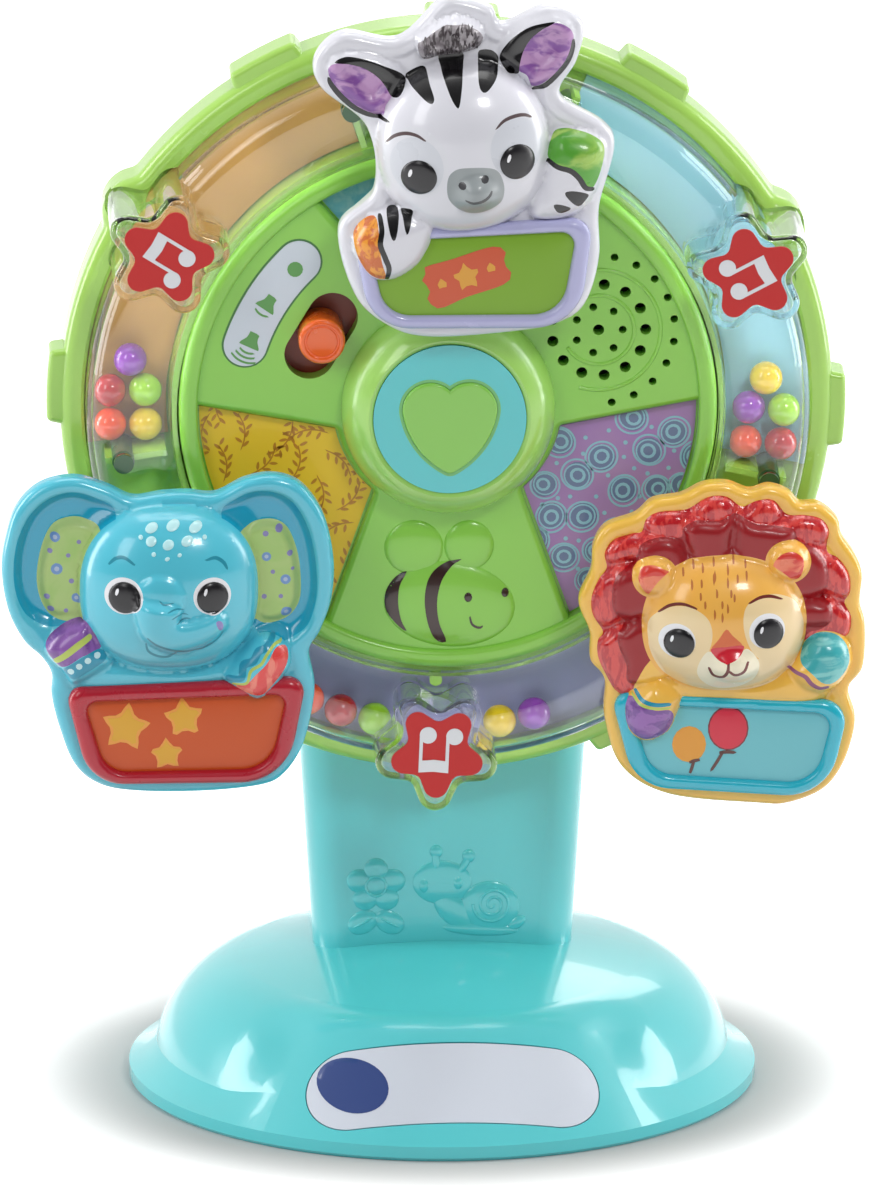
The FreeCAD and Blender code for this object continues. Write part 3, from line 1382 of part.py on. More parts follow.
gondolas = {
    "zebra": {
        "outline": [(-37.8, 14.8), (-30.7, 21.4), (-16.8, 19.8), (-6.4, 29.3), (-1.0, 30.1), (6.4, 27.5),
                    (9.6, 23.2), (20.6, 27.7), (29.5, 23.5), (28.2, 13.7), (23.9, 4.6), (34.8, -2.9),
                    (37.6, -9.2), (33.8, -24.5), (33.8, -37.8), (30.5, -49.4), (24.4, -54.4),
                    (13.5, -56.8), (-8.6, -58.1), (-19.6, -54.9), (-27.9, -46.5), (-31.8, -29.3),
                    (-22.9, -19.5), (-24.6, -3.4), (-36.1, 6.9)],
        "bumps": [(-0.5, -7.5, 21.5, 19.5, 13, 8), (-23.6, 9.6, 12, 7, 3.4, -35), (19.6, 17.4, 7.5, 11, 3.4, -25),
                  (-3.0, 22.0, 8.5, 5.5, 4.5, 8), (-17.5, -33.5, 9.5, 11, 7, -25), (28.0, -14.6, 8, 12.5, 6, 20),
                  (3.4, -17.4, 7.5, 5.4, 16.5, 8)],
        "frame": [(-28.5, -29.6), (32.2, -26.6), (29.6, -53.4), (-24.5, -56.0)],
        "panel": [(-24.5, -32.4), (27.8, -30.6), (25.0, -50.6), (-20.5, -52.9)],
        "corner": 7,
        "edge": 2.0,
    },
    "elephant": {
        "outline": [(-40.7, 1.6), (-38.3, 18.7), (-32.2, 24.6), (-23.0, 25.9), (-9.6, 19.3), (3.6, 22.2),
                    (12.5, 20.7), (25.0, 25.9), (35.6, 24.0), (42.0, 14.8), (43.3, 1.1), (39.7, -14.1),
                    (35.9, -20.5), (38.2, -32.5), (33.6, -48.6), (25.7, -53.9), (-2.2, -57.0),
                    (-15.2, -55.4), (-23.8, -46.2), (-28.5, -31.4), (-31.7, -19.5), (-38.5, -10.8)],
        "bumps": [(1.8, -1.6, 22.3, 20.4, 13, 0), (-26.5, 5.0, 11.5, 17.5, 3.2, -12), (30.0, 4.4, 11, 17.5, 3.2, 10),
                  (7.0, -9.6, 9.0, 6.6, 16, -18), (-23.0, -18.6, 8.0, 6.0, 5.5, 30), (26.5, -23.8, 8.0, 6.5, 6.5, -35)],
        "frame": [(-25.5, -28.8), (36.6, -26.6), (30.6, -51.8), (-16.5, -54.2)],
        "panel": [(-20.6, -32.8), (31.4, -29.6), (26.4, -48.8), (-14.0, -51.2)],
        "corner": 6.5,
        "edge": 2.0,
    },
    "lion": {
        "outline": [(-37.1, -1.8), (-34.0, 6.4), (-33.4, 13.0), (-30.2, 18.0), (-22.8, 20.8), (-18.4, 24.5),
                    (-11.2, 25.8), (-5.7, 28.5), (0.4, 28.8), (5.9, 26.8), (10.8, 28.0), (15.8, 26.3),
                    (18.6, 23.4), (23.5, 23.1), (28.2, 19.1), (29.3, 14.8), (32.6, 9.7), (34.5, 4.5),
                    (34.0, -2.9), (35.3, -8.7), (34.8, -19.7), (31.2, -25.3), (32.8, -32.1),
                    (32.3, -37.9), (29.5, -45.9), (24.6, -51.9), (16.0, -55.3), (8.3, -55.3),
                    (-14.0, -52.7), (-26.1, -45.3), (-30.5, -32.4), (-30.5, -22.1), (-34.1, -17.2),
                    (-34.3, -9.8)],
        "bumps": [(-0.6, -1.0, 31.5, 26.5, 5.5, 0), (-0.2, -5.4, 20.6, 17.4, 13, 0), (-18.4, 6.6, 5.6, 5.2, 10, 0),
                  (15.5, 9.8, 5.6, 5.2, 10, 0), (2.0, -15.2, 9.0, 6.0, 15, 0), (-18.2, -31.0, 8.5, 8.0, 6.5, 30),
                  (25.4, -16.6, 6.5, 7.5, 8, 0)],
        "frame": [(-29.4, -24.6), (31.6, -28.0), (25.8, -53.4), (-23.0, -49.8)],
        "panel": [(-24.6, -28.0), (27.2, -31.2), (22.6, -49.6), (-18.6, -46.4)],
        "corner": 7,
        "edge": 1.2,
    },
}


def gondolaParts(name, data, angle):
    turn = math.radians(angle)
    reach = float(size.pivotReach)
    across, up = reach * math.cos(turn), reach * math.sin(turn)
    back = float(size.gondolaBack)
    middle = back + float(size.backThickness)
    front = middle + float(size.figureThickness)

    def carry(shape):
        shape.translate(Vector(across, 0, up))
        return shape

    plate = prism(smoothLoop(data["outline"]), middle, front)
    rims = [edge for edge in plate.Edges if edge.BoundBox.YMax < -front + 0.01]
    plate = plate.makeFillet(data["edge"], rims)
    forms = []
    for x, y, halfWidth, halfHeight, rise, lean in data["bumps"]:
        form = bump(x, y, front - 0.6, halfWidth, halfHeight, rise + 0.6, lean)
        form.translate(Vector(0, 0, float(size.axisHeight)))
        forms.append(form)
    figure = plate.multiFuse(forms)
    figure = figure.cut(rod(0, 0, middle - 1, middle + 2.6, float(size.pinHeadRadius) + 0.5))
    shrunk = [(x * 0.95, y * 0.95 - 0.6) for x, y in data["outline"]]
    rear = prism(smoothLoop(shrunk), back, middle)
    rear = rear.cut(rod(0, 0, back - 1, middle + 1, size.pinRadius + size.pinClearance))
    frameTop = front + float(size.frameHeight)
    panelLoop = roundedLoop(data["panel"], data["corner"] - 2)
    frame = prism(roundedLoop(data["frame"], data["corner"]), front, frameTop)
    frame = frame.cut(prism(panelLoop, front - 1, frameTop + 1)).cut(figure)
    inset = prism(panelLoop, front, front + float(size.panelHeight)).cut(figure)
    group(f"{name}_figure", [carry(figure)])
    group(f"{name}_back", [carry(rear)])
    group(f"{name}_basket", [carry(largest(frame))])
    group(f"{name}_panel", [carry(largest(inset))])


def largest(shape):
    return max(shape.Solids, key=lambda solid: solid.Volume)


nodes = [
    "stand_front", "stand_back", "base_plate", "suction_cup", "cup_clip", "label_plate", "stand_screws",
    "battery_box", "battery_cells", "battery_contacts", "battery_door", "door_screw",
    "axle_tube", "axle_nut", "wheel_bush", "pod_back", "pod_screws", "panel_front", "hub_bezel",
    "hub_disc", "heart_button", "button_pad", "lamp", "button_board", "switch_body", "volume_knob",
    "speaker", "circuit_board", "sky_sheet", "leaf_sheet", "ring_sheet", "volume_label",
    "wheel_rim", "wheel_cover", "ring_cover", "tray_tan", "tray_violet", "tray_turquoise",
    "star_badges", "note_marks", "ring_screws", "gondola_pins",
    "beads_left", "beads_right", "beads_bottom_left", "beads_bottom_right",
]


def build():
    standHalves()
    baseParts()
    drillBasePlate()
    batteryParts()
    bushOuter = axleParts()
    podParts()
    panelPart()
    hubParts()
    switchParts()
    podInsides()
    printedSheets()
    wheelRim()
    wheelCover(bushOuter)
    ringCover()
    wheelTrims()
    beadGroups()
    for (name, data), angle in zip(gondolas.items(), gondolaAngles):
        gondolaParts(name, data, angle)
        nodes.extend([f"{name}_figure", f"{name}_back", f"{name}_basket", f"{name}_panel"])
    document.recompute()


def check():
    for thing in document.Objects:
        if "Invalid" in thing.State or "Error" in thing.State:
            raise RuntimeError(f"{thing.Label} did not build: {thing.State}")
    for name in nodes:
        found = document.getObjectsByLabel(name)
        if len(found) != 1:
            raise RuntimeError(f"{name}: {len(found)} objects carry this label")
        shape = found[0].Shape
        if shape.isNull() or not shape.isValid() or not shape.Solids:
            raise RuntimeError(f"{name} has no sound solid")


def export():
    os.makedirs("parts", exist_ok=True)
    for name in nodes:
        document.getObjectsByLabel(name)[0].Shape.exportStep(f"parts/{name}.step")
    print(f"wrote {len(nodes)} pieces")


build()
check()
export()
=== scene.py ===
import math
import random

import bpy
import numpy as np
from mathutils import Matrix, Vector
from mathutils.bvhtree import BVHTree
from mathutils.geometry import delaunay_2d_cdt


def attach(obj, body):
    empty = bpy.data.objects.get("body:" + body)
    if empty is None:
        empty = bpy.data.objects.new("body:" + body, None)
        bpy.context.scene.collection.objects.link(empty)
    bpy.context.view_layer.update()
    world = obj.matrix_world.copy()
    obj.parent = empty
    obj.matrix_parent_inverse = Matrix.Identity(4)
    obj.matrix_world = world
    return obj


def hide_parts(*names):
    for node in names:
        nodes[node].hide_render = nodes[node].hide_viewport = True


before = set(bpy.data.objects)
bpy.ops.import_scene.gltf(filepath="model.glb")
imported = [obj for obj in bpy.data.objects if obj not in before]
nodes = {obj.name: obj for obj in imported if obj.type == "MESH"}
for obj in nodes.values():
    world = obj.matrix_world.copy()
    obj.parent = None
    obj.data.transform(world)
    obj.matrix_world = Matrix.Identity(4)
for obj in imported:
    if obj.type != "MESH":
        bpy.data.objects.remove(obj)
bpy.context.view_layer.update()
print("frame loaded,", len(nodes), "nodes")

mm = 0.001
axisHeight = 185.5  # the wheel's axle above the table, mm
wheelTurn = -2.4  # how far the wheel stands turned, degrees


def toLinear(colour):
    linear = []
    for value in colour[:3]:
        share = value / 255
        linear.append(share / 12.92 if share <= 0.04045 else ((share + 0.055) / 1.055) ** 2.4)
    return (*linear, 1)


def setInputs(tree, node, inputs):
    for key, value in inputs.items():
        if isinstance(value, bpy.types.NodeSocket):
            tree.links.new(value, node.inputs[key])
        else:
            node.inputs[key].default_value = value


def addNode(tree, kind, x=0, y=0, inputs=None, **settings):
    node = tree.nodes.new("ShaderNode" + kind)
    node.location = (x, y)
    for key, value in settings.items():
        setattr(node, key, value)
    setInputs(tree, node, inputs or {})
    return node


def newGroup(name, inputs, outputs):
    group = bpy.data.node_groups.new(name, "ShaderNodeTree")
    for label, kind, value in inputs:
        socket = group.interface.new_socket(name=label, in_out="INPUT", socket_type=kind)
        socket.default_value = value
    for label, kind in outputs:
        group.interface.new_socket(name=label, in_out="OUTPUT", socket_type=kind)
    start, end = group.nodes.new("NodeGroupInput"), group.nodes.new("NodeGroupOutput")
    start.location, end.location = (-900, 0), (900, 0)
    return group, start.outputs, end


floatKind, colourKind, vectorKind = "NodeSocketFloat", "NodeSocketColor", "NodeSocketVector"


def buildPlasticSkin():
    group, given, end = newGroup(
        "plasticSkin",
        [("Colour", colourKind, (0.5, 0.5, 0.5, 1)), ("Drift", floatKind, 0.06), ("Roughness", floatKind, 0.25),
         ("Haze", floatKind, 0.08), ("Grain", floatKind, 0.05)],
        [("Colour", colourKind), ("Roughness", floatKind), ("Normal", vectorKind)],
    )
    place = addNode(group, "TexCoord", -900, -300).outputs["Object"]
    cloud, smear, speck = (
        addNode(group, "TexNoise", -640, y, {"Scale": scale, "Detail": detail, "Vector": place}).outputs["Fac"]
        for y, scale, detail in ((200, 22, 2), (-100, 160, 5), (-400, 900, 2)))
    centred = addNode(group, "Math", -420, 200, {0: cloud, 1: 0.5}, operation="SUBTRACT").outputs[0]
    scaled = addNode(group, "Math", -240, 200, {0: centred, 1: given["Drift"], 2: 1}, operation="MULTIPLY_ADD")
    tinted = addNode(group, "HueSaturation", 0, 200, {"Color": given["Colour"], "Value": scaled.outputs[0]})
    dull = addNode(group, "Math", -420, -100, {0: smear, 1: given["Haze"], 2: given["Roughness"]},
                   operation="MULTIPLY_ADD")
    bump = addNode(group, "Bump", 0, -300, {"Distance": 0.0002, "Strength": given["Grain"], "Height": speck})
    setInputs(group, end, {"Colour": tinted.outputs["Color"], "Roughness": dull.outputs[0],
                           "Normal": bump.outputs["Normal"]})
    return group


def buildBrushedPrint():
    group, given, end = newGroup(
        "brushedPrint",
        [("First", colourKind, (0.5, 0.5, 0.5, 1)), ("Second", colourKind, (0.8, 0.8, 0.8, 1)),
         ("Scale", floatKind, 120), ("Stretch", vectorKind, (1, 1, 0.25)), ("Edge", floatKind, 0.12)],
        [("Colour", colourKind)],
    )
    place = addNode(group, "TexCoord", -900, -300).outputs["Object"]
    squeezed = addNode(group, "VectorMath", -700, -200, {0: place, 1: given["Stretch"]}, operation="MULTIPLY")
    strokes = addNode(group, "TexNoise", -480, -100,
                      {"Detail": 3, "Distortion": 0.6, "Vector": squeezed.outputs[0], "Scale": given["Scale"]})
    low, high = (addNode(group, "Math", -460, y, {0: 0.5, 1: given["Edge"]}, operation=way).outputs[0]
                 for y, way in ((-320, "SUBTRACT"), (-460, "ADD")))
    span = addNode(group, "MapRange", -240, -100,
                   {"Value": strokes.outputs["Fac"], "From Min": low, "From Max": high},
                   interpolation_type="SMOOTHSTEP")
    blended = addNode(group, "Mix", 0, 100,
                      {"Factor": span.outputs["Result"], "A": given["First"], "B": given["Second"]},
                      data_type="RGBA")
    setInputs(group, end, {"Colour": blended.outputs["Result"]})
    return group


plasticSkin = buildPlasticSkin()
brushedPrint = buildBrushedPrint()


def newMaterial(name):
    material = bpy.data.materials.new(name)
    material.use_nodes = True
    tree = material.node_tree
    shader = next(n for n in tree.nodes if n.type == "BSDF_PRINCIPLED")
    output = next(n for n in tree.nodes if n.type == "OUTPUT_MATERIAL")
    return material, tree, shader, output


def addSkin(tree, shader, colour, roughness, drift, haze, grain):
    skin = addNode(tree, "Group", -300, 0, {"Colour": colour, "Roughness": roughness, "Drift": drift, "Haze": haze,
                                            "Grain": grain}, node_tree=plasticSkin)
    setInputs(tree, shader, {"Base Color": skin.outputs["Colour"], "Roughness": skin.outputs["Roughness"],
                             "Normal": skin.outputs["Normal"]})


def plastic(name, colour, roughness=0.24, coat=0.35, drift=0.06, haze=0.08, grain=0.04, second=None, scale=120,
            stretch=(1, 1, 0.25), edge=0.12, metallic=0.0):
    material, tree, shader, output = newMaterial(name)
    base = toLinear(colour)
    if second:
        base = addNode(tree, "Group", -560, 100, {"First": base, "Second": toLinear(second), "Scale": scale,
                                                  "Stretch": stretch, "Edge": edge},
                       node_tree=brushedPrint).outputs["Colour"]
    addSkin(tree, shader, base, roughness, drift, haze, grain)
    setInputs(tree, shader, {"Coat Weight": coat, "Coat Roughness": 0.06, "Metallic": metallic})
    return material


def clearPlastic(name, tint, roughness, ior):
    material, tree, shader, output = newMaterial(name)
    addSkin(tree, shader, toLinear(tint), roughness, drift=0.01, haze=0.03, grain=0.02)
    setInputs(tree, shader, {"Transmission Weight": 1, "IOR": ior, "Coat Weight": 1, "Coat Roughness": 0.03})
    path = addNode(tree, "LightPath", -100, 400)  # its shadow is left out, so that light falls through
    through = addNode(tree, "BsdfTransparent", 100, 200)
    mixed = addNode(tree, "MixShader", 400, 100, {"Fac": path.outputs["Is Shadow Ray"], 1: shader.outputs["BSDF"],
                                                  2: through.outputs["BSDF"]})
    setInputs(tree, output, {"Surface": mixed.outputs["Shader"]})
    return material


paints = {}


def paint(name, colour=None, **settings):
    if name not in paints:
        paints[name] = plastic(name, colour, **settings)
    return paints[name]


# the finishes of the moulded parts; a user changes colours here
finishes = {
    "shellTurquoise": {"colour": (88, 206, 212), "roughness": 0.2, "coat": 0.6, "drift": 0.1},
    "rimGreen": {"colour": (164, 212, 92), "roughness": 0.22, "coat": 0.5},
    "panelGreen": {"colour": (142, 208, 78), "roughness": 0.26, "coat": 0.4, "drift": 0.1},
    "hubGreen": {"colour": (164, 216, 106), "roughness": 0.2, "coat": 0.6},
    "hubBlue": {"colour": (72, 200, 204), "roughness": 0.16, "coat": 0.8},
    "heartGreen": {"colour": (134, 202, 76), "roughness": 0.2, "coat": 0.6},
    "knobOrange": {"colour": (240, 100, 30), "roughness": 0.22, "coat": 0.5},
    "slotBrown": {"colour": (128, 42, 16), "roughness": 0.35, "coat": 0.1},
    "trayTan": {"colour": (206, 150, 72), "roughness": 0.5, "coat": 0.0, "drift": 0.5, "second": (196, 148, 84),
                "scale": 14, "edge": 0.3},
    "trayTurquoise": {"colour": (146, 214, 236), "roughness": 0.5, "coat": 0.0, "drift": 0.4,
                      "second": (160, 212, 230), "scale": 14, "edge": 0.3},
    "trayViolet": {"colour": (156, 150, 200), "roughness": 0.5, "coat": 0.0, "drift": 0.4,
                   "second": (140, 150, 182), "scale": 16, "edge": 0.3},
    "starRed": {"colour": (196, 26, 24), "roughness": 0.4, "coat": 0.1, "grain": 0.25},
    "noteSilver": {"colour": (214, 216, 220), "roughness": 0.34, "coat": 0.2, "metallic": 0.25},
    "labelSilver": {"colour": (214, 220, 232), "roughness": 0.3, "coat": 0.3, "metallic": 0.15, "drift": 0.12},
    "cardSilver": {"colour": (202, 210, 220), "roughness": 0.35, "coat": 0.2, "metallic": 0.15},
    "skyPrint": {"colour": (92, 170, 186), "roughness": 0.45, "coat": 0.1, "second": (132, 190, 196), "scale": 300,
                 "stretch": (1, 1, 1)},
    "leafPrint": {"colour": (246, 202, 44), "roughness": 0.42, "coat": 0.15},
    "ringPrint": {"colour": (166, 124, 190), "roughness": 0.42, "coat": 0.15, "second": (172, 138, 182),
                  "scale": 40, "stretch": (1, 1, 1), "edge": 0.3},
    "undersideGrey": {"colour": (206, 210, 212), "roughness": 0.45, "coat": 0.0},
    "hardwareWhite": {"colour": (226, 226, 222), "roughness": 0.4, "coat": 0.1},
    "screwSteel": {"colour": (176, 178, 182), "roughness": 0.3, "coat": 0.0, "metallic": 1.0},
    "cupRubber": {"colour": (196, 206, 208), "roughness": 0.3, "coat": 0.2},
    "cellSleeve": {"colour": (64, 96, 132), "roughness": 0.3, "coat": 0.4},
    "boardGreen": {"colour": (44, 96, 58), "roughness": 0.4, "coat": 0.3},
    "padRubber": {"colour": (206, 206, 200), "roughness": 0.6, "coat": 0.0},
    "lampWhite": {"colour": (240, 236, 220), "roughness": 0.25, "coat": 0.3},
    "coneBlack": {"colour": (14, 14, 16), "roughness": 0.6, "coat": 0.0},
    # the dark post green is painted shade of the deep recess round the posts
    "postShadeGreen": {"colour": (52, 96, 58), "roughness": 0.25, "coat": 0.6},
    "pinGrey": {"colour": (196, 200, 204), "roughness": 0.35, "coat": 0.2},
    "zebraWhite": {"colour": (226, 226, 234), "roughness": 0.2, "coat": 0.6, "drift": 0.03},
    "zebraLavender": {"colour": (182, 182, 222), "roughness": 0.22, "coat": 0.6},
    "zebraOlive": {"colour": (122, 168, 34), "roughness": 0.34, "coat": 0.12},
    "elephantBlue": {"colour": (84, 196, 218), "roughness": 0.2, "coat": 0.6},
    "elephantRed": {"colour": (182, 20, 44), "roughness": 0.24, "coat": 0.3},
    "elephantOrange": {"colour": (204, 82, 20), "roughness": 0.34, "coat": 0.12},
    "lionYellow": {"colour": (247, 194, 78), "roughness": 0.22, "coat": 0.6},
    "lionCyan": {"colour": (30, 184, 208), "roughness": 0.2, "coat": 0.7},
    "lionSky": {"colour": (118, 198, 208), "roughness": 0.34, "coat": 0.12},
}
for finishName, values in finishes.items():
    paint(finishName, **values)
paints["clearCover"] = clearPlastic("clearCover", (246, 250, 250), roughness=0.02, ior=1.05)
print("materials ready,", len(paints))

finishNodes = {
    "shellTurquoise": "stand_front stand_back battery_door",
    "undersideGrey": "base_plate battery_box",
    "cupRubber": "suction_cup",
    "hardwareWhite": "cup_clip axle_tube axle_nut wheel_bush",
    "labelSilver": "label_plate",
    "screwSteel": "stand_screws door_screw pod_screws battery_contacts",
    # the ring screws take the dark post green, painted shade of their recess
    "postShadeGreen": "ring_screws",
    "cellSleeve": "battery_cells",
    "panelGreen": "pod_back panel_front",
    "hubGreen": "hub_bezel",
    "hubBlue": "hub_disc",
    "heartGreen": "heart_button",
    "padRubber": "button_pad",
    "lampWhite": "lamp",
    "boardGreen": "button_board circuit_board",
    "slotBrown": "switch_body",
    "knobOrange": "volume_knob",
    "coneBlack": "speaker",
    "skyPrint": "sky_sheet",
    "leafPrint": "leaf_sheet",
    "ringPrint": "ring_sheet",
    "cardSilver": "volume_label",
    "rimGreen": "wheel_rim wheel_cover",
    "trayTan": "tray_tan",
    "trayViolet": "tray_violet",
    "trayTurquoise": "tray_turquoise",
    "starRed": "star_badges",
    "noteSilver": "note_marks",
    "pinGrey": "gondola_pins",
    "zebraWhite": "zebra_figure zebra_back",
    "zebraLavender": "zebra_basket",
    "zebraOlive": "zebra_panel",
    "elephantBlue": "elephant_figure elephant_back",
    "elephantRed": "elephant_basket",
    "elephantOrange": "elephant_panel",
    "lionYellow": "lion_figure lion_back",
    "lionCyan": "lion_basket",
    "lionSky": "lion_panel",
    "clearCover": "ring_cover",
}
for finishName, nodeNames in finishNodes.items():
    for nodeName in nodeNames.split():
        nodes[nodeName].data.materials.clear()
        nodes[nodeName].data.materials.append(paints[finishName])


def curvePoint(a, b, c, d, t):
    return 0.5 * (2 * b + (c - a) * t + (2 * a - 5 * b + 4 * c - d) * t * t + (3 * b - a - 3 * c + d) * t ** 3)


def smoothLoop(points, steps=6):
    count, loop = len(points), []
    for i in range(count):
        a, b, c, d = (np.array(points[(i + k) % count], float) for k in (-1, 0, 1, 2))
        loop += [curvePoint(a, b, c, d, step / steps) for step in range(steps)]
    return np.array(loop)


def smoothPath(points, steps=8):
    pts = [np.array(p, float) for p in points]
    pts = [2 * pts[0] - pts[1]] + pts + [2 * pts[-1] - pts[-2]]
    path = []
    for i in range(1, len(pts) - 2):
        path += [curvePoint(*pts[i - 1:i + 3], step / steps) for step in range(steps)]
    return np.array(path + [pts[-2]])


def polar(radius, angle):
    return radius * np.array([math.cos(angle), math.sin(angle)])


def strokeLoop(points, width, taper=0.5):
    path = smoothPath(points)
    along = np.gradient(path, axis=0)
    along /= np.linalg.norm(along, axis=1)[:, None]
    side = np.stack([-along[:, 1], along[:, 0]], axis=1)
    share = np.linspace(0, 1, len(path))
    half = width / 2 * (1 - taper + taper * np.sin(np.pi * share) ** 0.6)
    left = path + side * half[:, None]
    right = path - side * half[:, None]
    startCap, endCap = [], []
    for angle in np.linspace(0, math.pi, 7)[1:-1]:
        endCap.append(path[-1] + half[-1] * (side[-1] * math.cos(angle) + along[-1] * math.sin(angle)))
        startCap.append(path[0] - half[0] * (side[0] * math.cos(angle) + along[0] * math.sin(angle)))
    return np.concatenate([left, np.array(endCap), right[::-1], np.array(startCap)])


def ellipseLoop(centre, halfWidth, halfHeight=None, lean=0.0, count=28):
    halfHeight = halfHeight or halfWidth
    turn = math.radians(lean)
    angles = np.linspace(0, 2 * math.pi, count, endpoint=False)
    x, y = halfWidth * np.cos(angles), halfHeight * np.sin(angles)
    return np.stack([centre[0] + x * math.cos(turn) - y * math.sin(turn),
                     centre[1] + x * math.sin(turn) + y * math.cos(turn)], axis=1)


def starLoop(centre, reach, valley, turn, roundness=5):
    corners = [centre + polar(valley if i % 2 else reach, math.radians(90 + turn + 36 * i)) for i in range(10)]
    return smoothLoop(corners, roundness)


def evenly(loop, step):
    closed = np.vstack([loop, loop[:1]])
    lengths = np.concatenate([[0], np.cumsum(np.linalg.norm(np.diff(closed, axis=0), axis=1))])
    count = max(8, int(round(lengths[-1] / step)))
    at = np.linspace(0, lengths[-1], count, endpoint=False)
    return np.stack([np.interp(at, lengths, closed[:, 0]), np.interp(at, lengths, closed[:, 1])], axis=1)


def reachOf(points, loop):
    points = np.asarray(points, float)
    near = np.full(len(points), 1e9)
    inside = np.zeros(len(points), bool)
    following = np.roll(loop, -1, axis=0)
    for a, b in zip(loop, following):
        edge = b - a
        span = max(edge @ edge, 1e-12)
        share = np.clip(((points - a) @ edge) / span, 0, 1)
        gap = points - a - share[:, None] * edge
        near = np.minimum(near, np.einsum("ij,ij->i", gap, gap))
        crosses = (a[1] > points[:, 1]) != (b[1] > points[:, 1])
        rise = b[1] - a[1] if abs(b[1] - a[1]) > 1e-12 else 1e-12
        inside ^= crosses & (points[:, 0] < a[0] + (points[:, 1] - a[1]) * edge[0] / rise)
    return np.where(inside, 1, -1) * np.sqrt(near)


def pathGap(points, path):
    near = np.full(len(points), 1e9)
    share = np.zeros(len(points))
    for i in range(len(path) - 1):
        a, b = path[i], path[i + 1]
        edge = b - a
        t = np.clip(((points - a) @ edge) / max(edge @ edge, 1e-12), 0, 1)
        gap = np.linalg.norm(points - a - t[:, None] * edge, axis=1)
        closer = gap < near
        near = np.where(closer, gap, near)
        share = np.where(closer, (i + t) / (len(path) - 1), share)
    return near, share


def roundShare(reach, width):
    share = np.clip(reach / width, 0, 1)
    return np.sqrt(np.maximum(0, 1 - (1 - share) ** 2))


def softShare(reach, width):
    share = np.clip(reach / width, 0, 1)
    return share * share * (3 - 2 * share)


def inwardOf(loop):
    along = np.roll(loop, -1, axis=0) - np.roll(loop, 1, axis=0)
    along /= np.maximum(np.linalg.norm(along, axis=1), 1e-9)[:, None]
    inward = np.stack([-along[:, 1], along[:, 0]], axis=1)
    return -inward if reachOf(loop + inward * 0.05, loop).mean() < 0 else inward


def gridOver(loop, spacing):
    low, high = loop.min(0), loop.max(0)
    xs = np.arange(low[0] + spacing / 2, high[0], spacing)
    ys = np.arange(low[1] + spacing / 2, high[1], spacing * 0.866)  # rows of even triangles
    grid = [(x + (spacing / 2 if row % 2 else 0), y) for row, y in enumerate(ys) for x in xs]
    return np.array(grid).reshape(-1, 2)


def triangulate(loops, loose):
    coords, edges = [], []
    for loop in loops:
        first = len(coords)
        coords += [Vector(p) for p in loop]
        edges += [(first + i, first + (i + 1) % len(loop)) for i in range(len(loop))]
    made = delaunay_2d_cdt(coords + [Vector(p) for p in loose], edges, [], 0, 1e-5)
    points = np.array([tuple(v) for v in made[0]])
    faces = [f for f in made[2] if len(f) == 3]
    return points, faces, points[np.array(faces, int).reshape(-1, 3)].mean(1)


def meshFlat(outer, holes, spacing, insets=(), clip=None):
    outer = evenly(outer, spacing)
    loops = [outer] + [evenly(hole, spacing) for hole in holes]
    grid = gridOver(outer, spacing)
    allowed = np.ones(len(grid), bool)
    deepest = (max(insets) if insets else 0) + spacing * 0.55
    ringPoints = []
    for loop in loops:
        way = 1 if loop is outer else -1
        allowed &= way * reachOf(grid, loop) > deepest
        for inset in insets:
            shifted = loop + way * inset * inwardOf(loop)
            ringPoints.extend(shifted[way * reachOf(shifted, loop) > inset * 0.9])
    borders = loops if clip is None else loops + [clip]
    points, faces, centres = triangulate(borders, list(grid[allowed]) + ringPoints)
    keep = reachOf(centres, outer) > 0
    for hole in loops[1:]:
        keep &= reachOf(centres, hole) < 0
    if clip is not None:
        keep &= reachOf(centres, clip) > 0
    faces = [f for f, good in zip(faces, keep) if good]
    used = sorted({index for face in faces for index in face})
    order = {old: new for new, old in enumerate(used)}
    return points[used] if used else points[:0], [tuple(order[index] for index in face) for face in faces]


def borderEdges(faces):
    seen = {(face[i - 1], face[i]): True for face in faces for i in (1, 2, 0)}
    return [(a, b) for a, b in seen if (b, a) not in seen]


def makeObject(name, vertices, faces, materials, body, sharp=50):
    mesh = bpy.data.meshes.new(name)
    mesh.from_pydata([(x * mm, -f * mm, z * mm) for x, f, z in vertices], [], faces)
    for material in materials:
        mesh.materials.append(material)
    mesh.shade_smooth()
    mesh.set_sharp_from_angle(angle=math.radians(sharp))
    obj = bpy.data.objects.new(name, mesh)
    bpy.context.scene.collection.objects.link(obj)
    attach(obj, body)
    return obj


def liftedSheet(pieces, origin, skirt):
    vertices, faces = [], []
    for points, tris, heights in pieces:
        first = len(vertices)
        ccw = []
        for a, b, c in tris:
            facing = np.cross(points[b] - points[a], points[c] - points[a])
            ccw.append((a, b, c) if facing > 0 else (a, c, b))
        vertices += [(origin[0] + p[0], h, origin[1] + p[1]) for p, h in zip(points, heights)]
        faces += [(a + first, b + first, c + first) for a, b, c in ccw]
        rim = borderEdges(ccw)
        lower = {}
        for a, _ in rim:
            lower[a] = len(vertices)
            level = heights[a] - skirt if skirt > 0 else -skirt  # a negative skirt is a level to go down to
            vertices.append((origin[0] + points[a][0], level, origin[1] + points[a][1]))
        faces += [(a + first, lower[a], lower[b], b + first) for a, b in rim if b in lower]
    return vertices, faces


